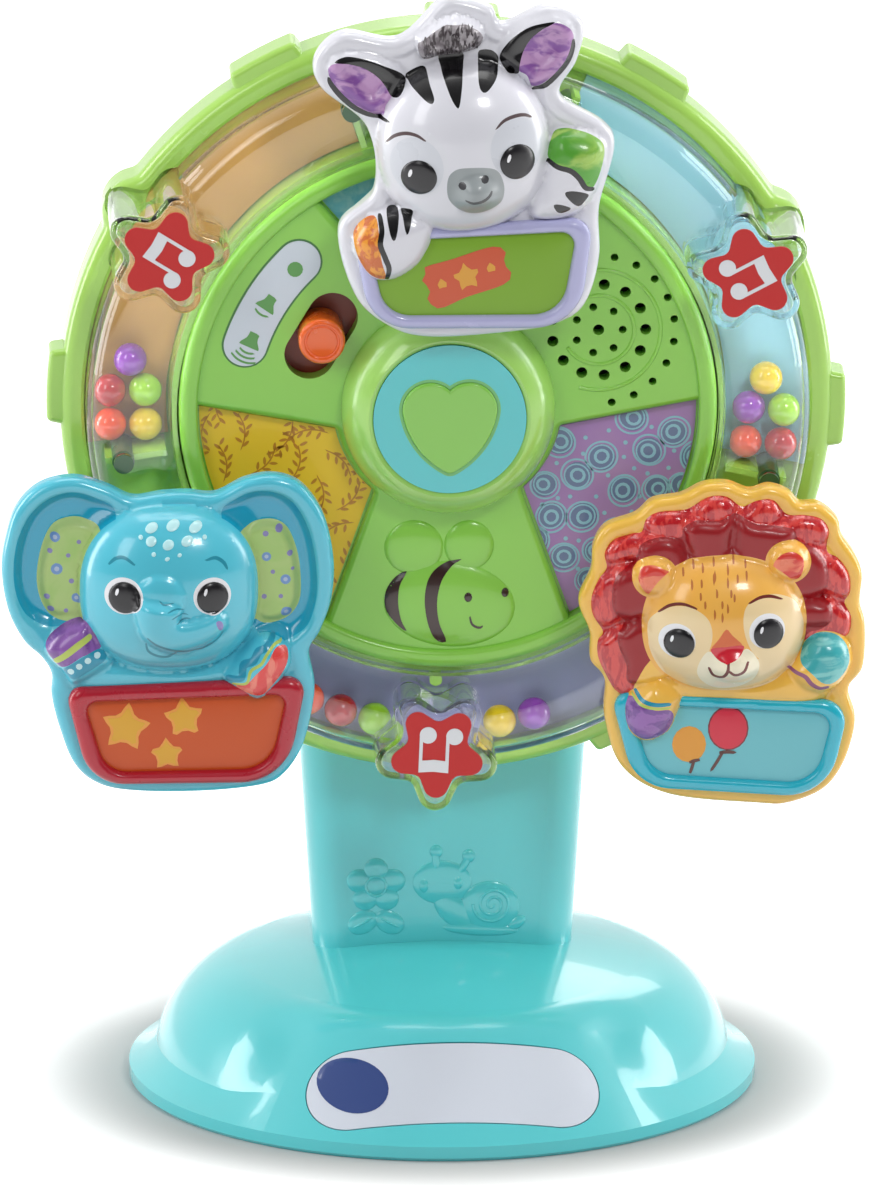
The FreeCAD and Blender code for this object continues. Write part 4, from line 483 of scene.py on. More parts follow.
def film(name, loops, surface, origin, material, body, lift=0.12, puff=0.0, puffWidth=2.0, spacing=1.1,
         skirt=0.5, holes=None, clip=None):
    insets = (0.075 * puffWidth, 0.3 * puffWidth) if puff else ()
    pieces = []
    for i, loop in enumerate(loops):
        cutter = clip if clip is not None and reachOf(loop, clip).min() < 0.02 else None
        if clip is not None and reachOf(loop, clip).max() < 0:
            continue
        points, tris = meshFlat(loop, (holes or {}).get(i, []), spacing, insets, cutter)
        if len(points):
            heights = surface(points) + lift
            if puff:
                heights = heights + puff * roundShare(reachOf(points, loop), puffWidth)
            pieces.append((points, tris, heights))
    makeObject(name, *liftedSheet(pieces, origin, skirt), [material], body)


def castOn(nodeName, fallback):
    mesh = nodes[nodeName].data
    tree = BVHTree.FromPolygons([v.co for v in mesh.vertices], [tuple(p.vertices) for p in mesh.polygons])

    def surface(points, origin=(0, axisHeight)):
        heights = []
        for x, z in points:
            hit = tree.ray_cast(Vector(((x + origin[0]) * mm, -0.4, (z + origin[1]) * mm)), Vector((0, 1, 0)))
            heights.append(-hit[0].y / mm if hit[0] is not None else fallback)
        return np.array(heights)

    return surface


def smoothMax(a, b, blend):
    share = np.maximum(blend - np.abs(a - b), 0) / blend
    return np.maximum(a, b) + share * share * blend / 4


def domeAt(points, centre, halfWidth, halfHeight, rise, lean=0.0, square=2.2):
    turn = math.radians(lean)
    du, dv = points[:, 0] - centre[0], points[:, 1] - centre[1]
    x = np.abs(du * math.cos(turn) + dv * math.sin(turn)) / halfWidth
    y = np.abs(-du * math.sin(turn) + dv * math.cos(turn)) / halfHeight
    r = (x ** square + y ** square) ** (1 / square)
    return np.where(r < 1, rise * np.sqrt(np.maximum(0, 1 - r * r)), -(r - 1) * rise)


def domeLoop(dome, inset=0.4, count=90):
    angles = np.linspace(0, 2 * math.pi, count, endpoint=False)
    corners = np.stack([np.cos(angles), np.sin(angles)], axis=1)
    reach = np.array([dome["halfWidth"], dome["halfHeight"]]) - inset
    return dome["centre"] + reach * np.sign(corners) * np.abs(corners) ** (2 / dome["square"])


def puffAt(points, loop, rise, width):
    reach = reachOf(points, loop)
    return np.where(reach > 0, rise * roundShare(reach, width), reach)


def creaseAt(points, path, width, depth):
    gap, share = pathGap(points, path)
    return depth * np.clip(1 - gap / width, 0, 1) ** 2


plateLevel, plateTop = 51.0, 56.0  # back and front of the figures' plates, mm in front of the wheel's middle


def plateAt(points, outline, keepClear, edge=2.4, lipWidth=3.6, recess=1.0):
    reach = reachOf(points, outline)
    sunk = softShare(reach - lipWidth, 1.8) * softShare(-reachOf(points, keepClear), 2.0)
    return plateTop - edge + edge * roundShare(reach, edge) - recess * sunk


def figureLoops(data):
    outline, basket = smoothLoop(data["outline"], 8), roundedLoop(data["frame"], data["corner"])
    return data["pivot"], data["body"], outline, basket, [smoothLoop(data[k]) for k in ("armLeft", "armRight")]


def paintedFigure(data, outline, surface, marks, spacing=0.8):
    origin, body, base = data["pivot"], data["body"], data["finishes"][0]
    node = body + "_figure"
    rim = evenly(outline, 0.8)
    marked = [evenly(shape, 0.6) for _, shapes in marks for shape in shapes]
    grid = gridOver(rim, spacing)
    extra = [grid[reachOf(grid, rim) > 2.4]]
    for inset in (0.12, 0.35, 0.75, 1.3, 2.0):
        shifted = rim + inwardOf(rim) * inset
        extra.append(shifted[reachOf(shifted, rim) > inset * 0.9])
    extra, crowd = np.concatenate(extra), np.concatenate(marked)
    clear = np.ones(len(extra), bool)
    for first in range(0, len(extra), 2000):
        part = extra[first:first + 2000]
        gap = ((part[:, None, :] - crowd[None, :, :]) ** 2).sum(2).min(1)
        clear[first:first + 2000] = gap > 0.08
    slots = [base] + [mark for mark in dict.fromkeys(mark for mark, _ in marks) if mark != base]
    points, faces, centres = triangulate([rim] + marked, extra[clear])
    keep = reachOf(centres, rim) > 0
    faces, centres = [f for f, good in zip(faces, keep) if good], centres[keep]
    chosen = np.zeros(len(faces), int)
    for mark, shapes in marks:
        for shape in shapes:
            near = np.all((centres > shape.min(0)) & (centres < shape.max(0)), axis=1).nonzero()[0]
            if len(near):
                chosen[near[reachOf(centres[near], shape) > 0]] = slots.index(mark)
    vertices, faces = liftedSheet([(points, faces, surface(points))], origin, -plateLevel)
    obj = makeObject(body + "Figure", vertices, faces, [paints[slot] for slot in slots], body, sharp=60)
    for number in chosen.nonzero()[0]:
        obj.data.polygons[int(number)].material_index = int(chosen[number])
    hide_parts(node)


def area(*shapes, steps=6):
    return [smoothLoop(shape, steps) for shape in shapes]


def lines(width, taper, *shapes):
    return [strokeLoop(shape, width, taper) for shape in shapes]


def discs(radius, *centres):
    return [ellipseLoop(centre, radius, count=18) for centre in centres]


def basketFrame(data, height=2.8):
    body, material = data["body"], paints[data["finishes"][1]]
    node = body + "_basket"
    outerLoop = roundedLoop(data["frame"], data["corner"])
    innerLoop = roundedLoop(data["panel"], [radius * 0.66 for radius in data["corner"]])
    points, faces = meshFlat(outerLoop, [innerLoop], spacing=0.8, insets=(0.15, 0.45, 0.95))
    out = np.clip(reachOf(points, outerLoop) / 2.4, 0, 1)
    into = np.clip(-reachOf(points, innerLoop) / 1.5, 0, 1)
    heights = plateTop + height * (0.4 + 0.6 * roundShare(np.minimum(out, into), 1))
    vertices, faces = liftedSheet([(points, faces, heights)], data["pivot"], -(plateTop - 0.4))
    obj = makeObject(body + "Basket", vertices, faces, [material], body, sharp=60)
    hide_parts(node)


def basketSheet(data):
    body, material = data["body"], paints[data["finishes"][2]]
    node = body + "_panel"
    corners = np.array(data["panel"], float)
    middle = corners.mean(0)
    edge = roundedLoop(middle + (corners - middle) * 1.035, [radius * 0.66 for radius in data["corner"]])

    def surface(points):
        share = np.clip(reachOf(points, edge) / 9, 0, 1)
        return plateTop + 0.95 + 0.8 * (1 - (1 - share) ** 2)

    points, faces = meshFlat(edge, [], spacing=1.4, insets=(0.6,))
    vertices, faces = liftedSheet([(points, faces, surface(points))], data["pivot"], -(plateTop + 0.3))
    obj = makeObject(body + "Panel", vertices, faces, [material], body, sharp=60)
    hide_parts(node)
    return surface


def roundedLoop(corners, radii, steps=8):
    loop, count = [], len(corners)
    for i in range(count):
        radius = radii[i]
        before, here, after = (np.array(corners[(i + k) % count], float) for k in (-1, 0, 1))
        one = (before - here) / np.linalg.norm(before - here)
        two = (after - here) / np.linalg.norm(after - here)
        half = math.acos(np.clip(one @ two, -1, 1)) / 2
        a, b = here + one * radius / math.tan(half), here + two * radius / math.tan(half)
        centre = here + (one + two) / np.linalg.norm(one + two) * (radius / math.sin(half))
        first = math.atan2(*(a - centre)[::-1])
        last = math.atan2(*(b - centre)[::-1])
        sweep = (last - first + math.pi) % (2 * math.pi) - math.pi
        for step in range(steps + 1):
            angle = first + sweep * step / steps
            loop.append(centre + polar(radius, angle))
    return np.array(loop)


def eyePair(data, surface, bulge=0.7):
    origin, body, radius = data["pivot"], data["body"], data["eyes"]["radius"]
    balls = [ellipseLoop(centre, radius, radius * 1.02, count=44) for centre in data["eyes"]["centres"]]
    film(body + "Eyes", balls, surface, origin, paint("eyeBlack"), body, lift=0.15, puff=bulge, puffWidth=radius,
         spacing=0.7)

    def onBall(points):
        swell = np.zeros(len(points))
        for ball in balls:
            swell = np.maximum(swell, bulge * roundShare(reachOf(points, ball), radius))
        return surface(points) + 0.15 + swell

    glints = [ellipseLoop(glint, radius * 0.1, radius * 0.26, -16, 16) for glint in data["eyes"]["glints"]]
    film(body + "EyeGlints", glints, onBall, origin, paint("eyeWhite"), body, lift=0.06, spacing=0.5, skirt=0.2)


paint("eyeBlack", (14, 12, 18), roughness=0.25, coat=0.1, drift=0.1, haze=0.08)
paint("eyeWhite", (240, 240, 244), roughness=0.2, coat=0.3)
paint("inkBlack", (14, 13, 16), roughness=0.2, coat=0.3, haze=0.1)
paint("bandTeal", (24, 146, 176), roughness=0.25)
paint("limeBand", (188, 206, 96), roughness=0.3)

zebra = {
    "body": "zebra",
    "finishes": ("zebraWhite", "zebraLavender", "zebraOlive"),
    "head": {"centre": (-0.5, -8.1), "halfWidth": 21.8, "halfHeight": 21.8, "rise": 13.4, "lean": 8},
    "muzzle": {"centre": (2.2, -17.0), "halfWidth": 8.2, "halfHeight": 7.2, "rise": 15.6, "lean": 8},
    "eyes": {"centres": [(-12.1, -13.3), (12.7, -9.6)], "radius": 4.45, "glints": [(-14.3, -12.2), (10.5, -8.3)]},
    "pivot": (3.43, 267.43),
    "outline": [
        (-37.8, 14.8), (-30.7, 21.4), (-16.8, 19.8), (-6.4, 29.3), (-1.0, 30.1), (6.4, 27.5), (9.6, 23.2),
        (20.6, 27.7), (29.5, 23.5), (28.2, 13.7), (23.9, 4.6), (34.8, -2.9), (37.6, -9.2), (33.8, -24.5),
        (33.8, -37.8), (30.5, -49.4), (24.4, -54.4), (13.5, -56.8), (-8.6, -58.1), (-19.6, -54.9), (-27.9, -46.5),
        (-31.8, -29.3), (-22.9, -19.5), (-24.6, -3.4), (-36.1, 6.9)],
    "frame": [(-28.5, -29.6), (32.2, -26.6), (28.8, -55.4), (-23.8, -55.0)],
    "panel": [(-24.5, -32.4), (28.0, -30.2), (24.2, -51.8), (-20.1, -51.6)],
    "corner": [6, 5, 13, 12],
    "earLeft": [
        (-34.9, 13.6), (-32.4, 16.4), (-25.5, 16.9), (-19.0, 14.6), (-14.8, 10.6), (-16.0, 6.6), (-19.0, 3.0),
        (-21.4, 0.4), (-25.6, 1.6), (-30.6, 6.0), (-34.0, 10.2)],
    "earRight": [
        (22.7, 26.0), (26.8, 23.8), (27.7, 20.0), (26.3, 14.4), (22.6, 10.0), (17.4, 7.2), (13.0, 10.8),
        (8.4, 14.6), (10.0, 20.2), (15.0, 24.2)],
    "tuft": [
        (-12.5, 20.3), (-11.1, 21.5), (-6.7, 24.9), (-3.4, 26.1), (1.0, 25.5), (4.3, 23.2), (4.8, 20.3),
        (3.2, 18.1), (-0.7, 16.9), (-6.2, 16.3), (-10.6, 15.2), (-12.2, 17.5)],
    "armRight": [
        (20.3, -7.7), (23.0, -4.3), (27.4, -3.7), (32.4, -4.8), (35.2, -7.7), (35.2, -11.1), (34.2, -16.3),
        (32.2, -21.4), (29.1, -24.9), (25.2, -26.6), (20.3, -27.2), (16.4, -26.0), (16.4, -21.4), (18.0, -16.9)],
    "armLeft": [
        (-27.9, -30.0), (-25.5, -26.6), (-21.1, -24.3), (-16.1, -23.2), (-11.1, -24.0), (-7.8, -27.2),
        (-8.4, -31.7), (-11.1, -37.5), (-15.5, -41.2), (-20.0, -42.6), (-24.4, -41.5), (-27.4, -36.9),
        (-28.5, -32.9)],
}


def dressZebra(data):
    origin, body, outline, basket, arms = figureLoops(data)
    ears = [smoothLoop(data[k]) for k in ("earLeft", "earRight")]
    tuft = smoothLoop(data["tuft"])
    rng = np.random.default_rng(5)
    lumps = [(tuft[rng.integers(len(tuft))] * 0.62 + np.array([-3.6, 20.6]) * 0.38, rng.uniform(1.6, 2.6))
             for _ in range(16)]

    def surface(points):
        height = plateAt(points, outline, basket)
        for ear in ears:
            height = smoothMax(height, plateTop - 1.0 + puffAt(points, ear, rise=3.0, width=3.2), blend=0.8)
            height = height - 1.5 * softShare(reachOf(points, ear * 0.74 + ear.mean(0) * 0.26), 4.0)
        height = smoothMax(height, plateTop - 0.6 + domeAt(points, **data["head"]), blend=1.2)
        bush = puffAt(points, tuft, rise=4.6, width=4.4)
        for centre, size in lumps:
            bush = bush + 0.7 * np.maximum(0, domeAt(points, centre, size, size, rise=1.0)) * (bush > 0)
        height = smoothMax(height, plateTop - 0.4 + bush, blend=0.6)
        for arm, rise in zip(arms, (6.4, 6.0)):
            height = smoothMax(height, plateTop - 0.2 + puffAt(points, arm, rise=rise, width=7.5), blend=0.7)
        return smoothMax(height, plateTop - 0.6 + domeAt(points, **data["muzzle"]), blend=2.4)

    paint("earPurple", (132, 78, 158), second=(192, 148, 196), scale=300, stretch=(0.45, 1, 1), edge=0.09,
          roughness=0.25)
    paint("muzzleGrey", (146, 154, 156), second=(164, 170, 172), scale=40, roughness=0.3)
    # the two socket greys are painted shade round the eyes: a paler and a darker grey nested for a soft edge
    paint("socketShadePale", (225, 226, 233), roughness=0.22, coat=0.4)
    paint("socketShadeGrey", (212, 215, 223), roughness=0.24, coat=0.4)
    paint("tuftGrey", (110, 102, 107), second=(176, 170, 175), scale=300, stretch=(1, 1, 0.4), edge=0.15, grain=0.3)
    paint("cuffGreen", (84, 162, 48), second=(166, 204, 92), scale=150, stretch=(0.6, 1, 1), edge=0.1)
    paint("cuffOrange", (238, 158, 50), second=(206, 104, 40), scale=420, stretch=(1, 1, 0.8), edge=0.05)
    paint("browGrey", (84, 66, 68), roughness=0.35)
    paint("nostrilGrey", (58, 58, 62), roughness=0.3)
    face = [
        ("earPurple", area(
            [(-34.5, 13.5), (-32.9, 15.2), (-29.3, 15.1), (-25.5, 13.8), (-22.2, 11.5), (-20.0, 8.9),
             (-18.6, 6.6), (-20.0, 4.3), (-20.8, 1.7), (-23.3, 2.0), (-27.7, 3.7), (-31.2, 7.2), (-33.7, 10.6)],
            [(22.5, 25.2), (25.2, 24.4), (26.9, 22.6), (27.1, 20.1), (26.0, 15.8), (23.0, 12.3), (19.7, 9.5),
             (16.9, 8.3), (16.1, 10.0), (15.3, 11.8), (13.4, 12.9), (13.8, 15.8), (15.0, 18.6), (16.9, 21.5),
             (19.7, 23.8)])),
        ("inkBlack", area(
            [(-32.9, 15.5), (-30.1, 16.9), (-25.5, 16.3), (-20.0, 14.3), (-16.4, 12.6), (-15.0, 10.9),
             (-15.5, 8.9), (-16.9, 6.9), (-18.6, 6.6), (-20.0, 8.9), (-22.2, 11.5), (-25.5, 13.8), (-29.3, 15.1)],
            [(22.5, 25.4), (18.6, 24.9), (15.3, 23.8), (12.0, 21.5), (9.5, 18.6), (8.6, 16.3), (9.0, 14.6),
             (10.3, 12.6), (12.5, 11.6), (13.4, 12.0), (13.6, 14.6), (14.5, 17.5), (16.4, 20.9), (19.2, 23.5)])),
        ("inkBlack", lines(1.5, 0.6,
            [(-34.4, 11.2), (-33.7, 9.5), (-31.2, 6.3), (-27.7, 3.2), (-23.8, 1.5), (-19.6, 0.9)],
            [(27.1, 20.6), (26.9, 18.1), (25.5, 14.6), (22.5, 10.9), (19.7, 8.4), (16.9, 7.7)])),
        ("inkBlack", area(
            [(-14.9, 11.9), (-10.5, 13.9), (-9.1, 10.4), (-8.2, 7.8), (-8.6, 6.5), (-10.0, 6.8), (-12.4, 8.7),
             (-14.4, 10.5)],
            [(-6.4, 16.8), (-0.7, 17.2), (-0.9, 13.0), (-1.2, 10.0), (-1.8, 6.4), (-2.4, 5.6), (-3.8, 7.6),
             (-5.3, 11.2), (-6.1, 13.6)],
            [(3.5, 17.6), (6.5, 17.7), (8.3, 15.9), (7.9, 12.5), (6.3, 10.2), (4.6, 9.0), (3.4, 9.9),
             (3.0, 12.5), (3.2, 15.3)])),
        ("tuftGrey", [tuft * 0.94 + np.array([-3.6, 20.6]) * 0.06]),
        # painted shade in the eye sockets, which have no hollow of their own
        ("socketShadePale", [ellipseLoop((-12.8, -8.6), 8.0, 9.4, lean=12, count=50),
                        ellipseLoop((12.4, -4.4), 8.0, 9.4, count=50)]),
        ("socketShadeGrey", [ellipseLoop((-12.6, -9.4), 6.6, 7.6, lean=12, count=50),
                        ellipseLoop((12.4, -5.0), 6.6, 7.6, count=50)]),
        ("browGrey", lines(0.9, 0.6,
            [(-20.1, -4.1), (-18.0, -2.1), (-15.3, -1.1), (-12.6, -1.4), (-10.5, -2.6)],
            [(7.4, 0.5), (9.3, 2.2), (11.9, 3.0), (14.4, 3.0), (16.4, 2.1)])),
        ("muzzleGrey", area(
            [(-3.1, -9.9), (-0.6, -9.3), (4.9, -9.4), (7.7, -10.5), (9.1, -13.6), (9.3, -16.7), (8.3, -19.4),
             (5.0, -21.3), (1.7, -21.9), (-1.9, -20.7), (-4.4, -18.2), (-5.1, -15.1), (-4.7, -11.7)])),
        ("nostrilGrey", discs(1.0, (-1.3, -13.8), (4.4, -12.2))),
        ("nostrilGrey", lines(0.85, 0.5, [(-0.4, -17.5), (1.5, -18.1), (4.0, -17.5), (5.6, -16.3), (6.1, -15.2)])),
    ]
    marks = [(mark, [shape + (0, -1.1) for shape in shapes]) for mark, shapes in face] + [
        ("cuffGreen", area(
            [(21.2, -6.7), (22.9, -4.1), (26.7, -3.7), (31.1, -4.7), (34.1, -6.7), (34.9, -9.3), (34.1, -13.6),
             (32.8, -17.0), (31.7, -18.2), (30.0, -17.0), (27.8, -14.1), (24.0, -12.4), (20.7, -10.4)])),
        ("cuffOrange", area(
            [(-27.0, -27.9), (-24.5, -25.9), (-22.6, -25.6), (-22.0, -28.5), (-21.8, -32.5), (-21.2, -36.5),
             (-20.1, -41.1), (-22.3, -41.3), (-25.1, -39.3), (-27.3, -35.3), (-28.2, -30.7)])),
        ("inkBlack", lines(1.4, 0.2,
            [(20.7, -11.0), (22.9, -12.4), (26.2, -13.3), (28.4, -15.3), (30.0, -17.9), (31.9, -18.7)],
            [(-21.6, -25.3), (-21.2, -28.5), (-21.6, -31.9), (-20.4, -35.3), (-19.4, -38.2), (-19.8, -41.3)])),
        ("inkBlack", area(
            [(24.8, -19.0), (27.3, -18.6), (30.8, -19.9), (30.0, -21.6), (28.4, -23.0), (26.2, -21.3)],
            [(22.0, -22.2), (24.0, -22.2), (26.4, -23.4), (24.5, -24.6), (22.9, -24.3)],
            [(-19.8, -23.9), (-17.1, -23.5), (-17.1, -27.3), (-17.8, -30.5), (-18.5, -30.7), (-19.3, -28.5)],
            [(-16.2, -23.2), (-13.5, -23.0), (-13.8, -26.2), (-14.6, -29.1), (-15.3, -28.5), (-15.8, -25.6)])),
    ]
    paintedFigure(data, outline, surface, marks)
    basketFrame(data)
    eyePair(data, surface)
    strands = random.Random(9)
    hairs = []
    for _ in range(110):
        x, y = strands.uniform(-11, 3.4), strands.uniform(15.5, 24)
        if reachOf(np.array([(x, y + 1.1)]), tuft)[0] > 0.9:
            hairs.append(strokeLoop([(x, y - 1.2), (x + strands.uniform(-0.6, 0.6), y),
                                     (x + strands.uniform(-0.3, 0.3), y + 1.2)], strands.uniform(0.35, 0.6)))
    film("zebraStrands", hairs, surface, origin, paint("strandGrey", (64, 56, 60), roughness=0.3), body, lift=0.14,
         spacing=0.7, skirt=0.3)

    flat = basketSheet(data)
    ticket = [(-10.3, -39.0), (-3.4, -37.0), (6.5, -33.9), (10.1, -35.0), (9.5, -37.9), (10.4, -39.3), (11.6, -40.8),
              (10.9, -42.8), (7.6, -44.5), (-0.1, -47.0), (-6.2, -49.9), (-8.6, -48.8), (-9.7, -47.6), (-8.9, -45.6),
              (-9.5, -43.9), (-11.1, -42.8), (-10.0, -41.0)]
    film("zebraTicket", [smoothLoop(ticket, 3)], flat, origin, paint("ticketRed", (204, 80, 38), roughness=0.35),
         body, lift=0.1, spacing=2)
    film("zebraTicketMarks", [starLoop(centre, reach, valley, turn=14) for centre, reach, valley in (
        ((0.3, -41.6), 3.8, 2.1), ((-5.9, -43.4), 1.5, 0.9), ((6.4, -39.3), 1.4, 0.9))], flat, origin,
         paint("ticketGold", (222, 158, 50), roughness=0.35), body, lift=0.16, spacing=1.5)


dressZebra(zebra)
print("zebra dressed")

elephant = {
    "body": "elephant",
    "finishes": ("elephantBlue", "elephantRed", "elephantOrange"),
    "head": {"centre": (1.3, -2.3), "halfWidth": 22.9, "halfHeight": 21.6, "rise": 13.2, "square": 2.4},
    "eyes": {"centres": [(-10.2, -1.9), (12.0, -2.1)], "radius": 4.0, "glints": [(-12.1, -0.4), (10.2, -0.4)]},
    "pivot": (-72.67, 147.51),
    "outline": [
        (-40.8, 2.0), (-39.7, 10.6), (-36.9, 18.7), (-30.9, 24.5), (-22.4, 26.3), (-14.4, 24.0), (-7.6, 20.9),
        (-0.6, 21.8), (6.0, 22.1), (13.2, 21.6), (20.6, 25.2), (28.0, 26.3), (34.9, 23.6), (40.5, 15.5),
        (43.0, 4.0), (42.4, -6.4), (39.6, -14.6), (36.8, -19.8), (38.2, -28.2), (37.2, -37.0), (34.8, -45.4),
        (30.6, -51.8), (25.0, -54.9), (10.4, -56.4), (-6.6, -56.2), (-16.4, -54.2), (-22.6, -48.8), (-26.4, -39.0),
        (-28.3, -30.7), (-28.2, -25.4), (-30.5, -21.0), (-35.2, -16.4), (-39.1, -8.5)],
    "frame": [(-25.2, -27.8), (36.2, -25.8), (30.8, -53.4), (-18.8, -53.4)],
    "panel": [(-20.2, -31.7), (31.0, -30.3), (26.8, -49.9), (-14.6, -50.3)],
    "corner": [4, 4, 14, 11],
    "earLeft": [
        (-12.0, 17.0), (-17.1, 21.1), (-23.4, 22.6), (-29.0, 20.8), (-33.6, 16.7), (-36.7, 10.2), (-37.8, 2.6),
        (-37.0, -4.5), (-34.1, -9.8), (-29.0, -12.5), (-25.1, -11.9), (-19.7, -10.4), (-16.0, -4.5), (-14.9, 6.1)],
    "earRight": [
        (14.6, 16.7), (18.0, 20.2), (23.1, 22.3), (28.8, 21.7), (33.3, 18.5), (36.7, 12.0), (38.4, 3.7),
        (38.7, -4.5), (37.0, -11.6), (33.9, -15.1), (29.9, -16.9), (26.5, -15.7), (23.1, -13.3), (19.2, -4.5),
        (16.9, 7.3)],
    "patchLeft": [
        (-31.9, 0.2), (-30.7, 7.9), (-27.9, 13.8), (-23.4, 15.7), (-19.4, 15.2), (-16.0, 13.2), (-13.7, 6.1),
        (-14.9, -2.1), (-17.1, -9.8), (-20.0, -10.5), (-25.1, -11.0), (-28.5, -9.8), (-31.0, -5.7)],
    "patchRight": [
        (17.5, 10.8), (20.3, 12.6), (23.1, 14.1), (27.7, 14.5), (31.1, 12.6), (33.3, 7.9), (34.5, 2.0),
        (34.6, -5.7), (32.8, -9.8), (29.9, -11.9), (26.5, -12.5), (24.0, -11.6), (20.3, -6.9), (18.0, 1.4)],
    "armLeft": [
        (-30.2, -17.5), (-27.9, -13.9), (-23.4, -11.0), (-19.4, -10.1), (-15.4, -15.1), (-12.6, -20.4),
        (-15.4, -23.9), (-22.8, -27.2), (-25.6, -23.9), (-28.8, -20.4)],
    "armRight": [
        (14.6, -25.7), (16.9, -22.2), (20.3, -18.1), (24.3, -14.5), (28.2, -15.1), (31.6, -18.1), (32.2, -22.2),
        (30.5, -25.7), (27.1, -29.8), (23.7, -31.6), (19.2, -29.8)],
}


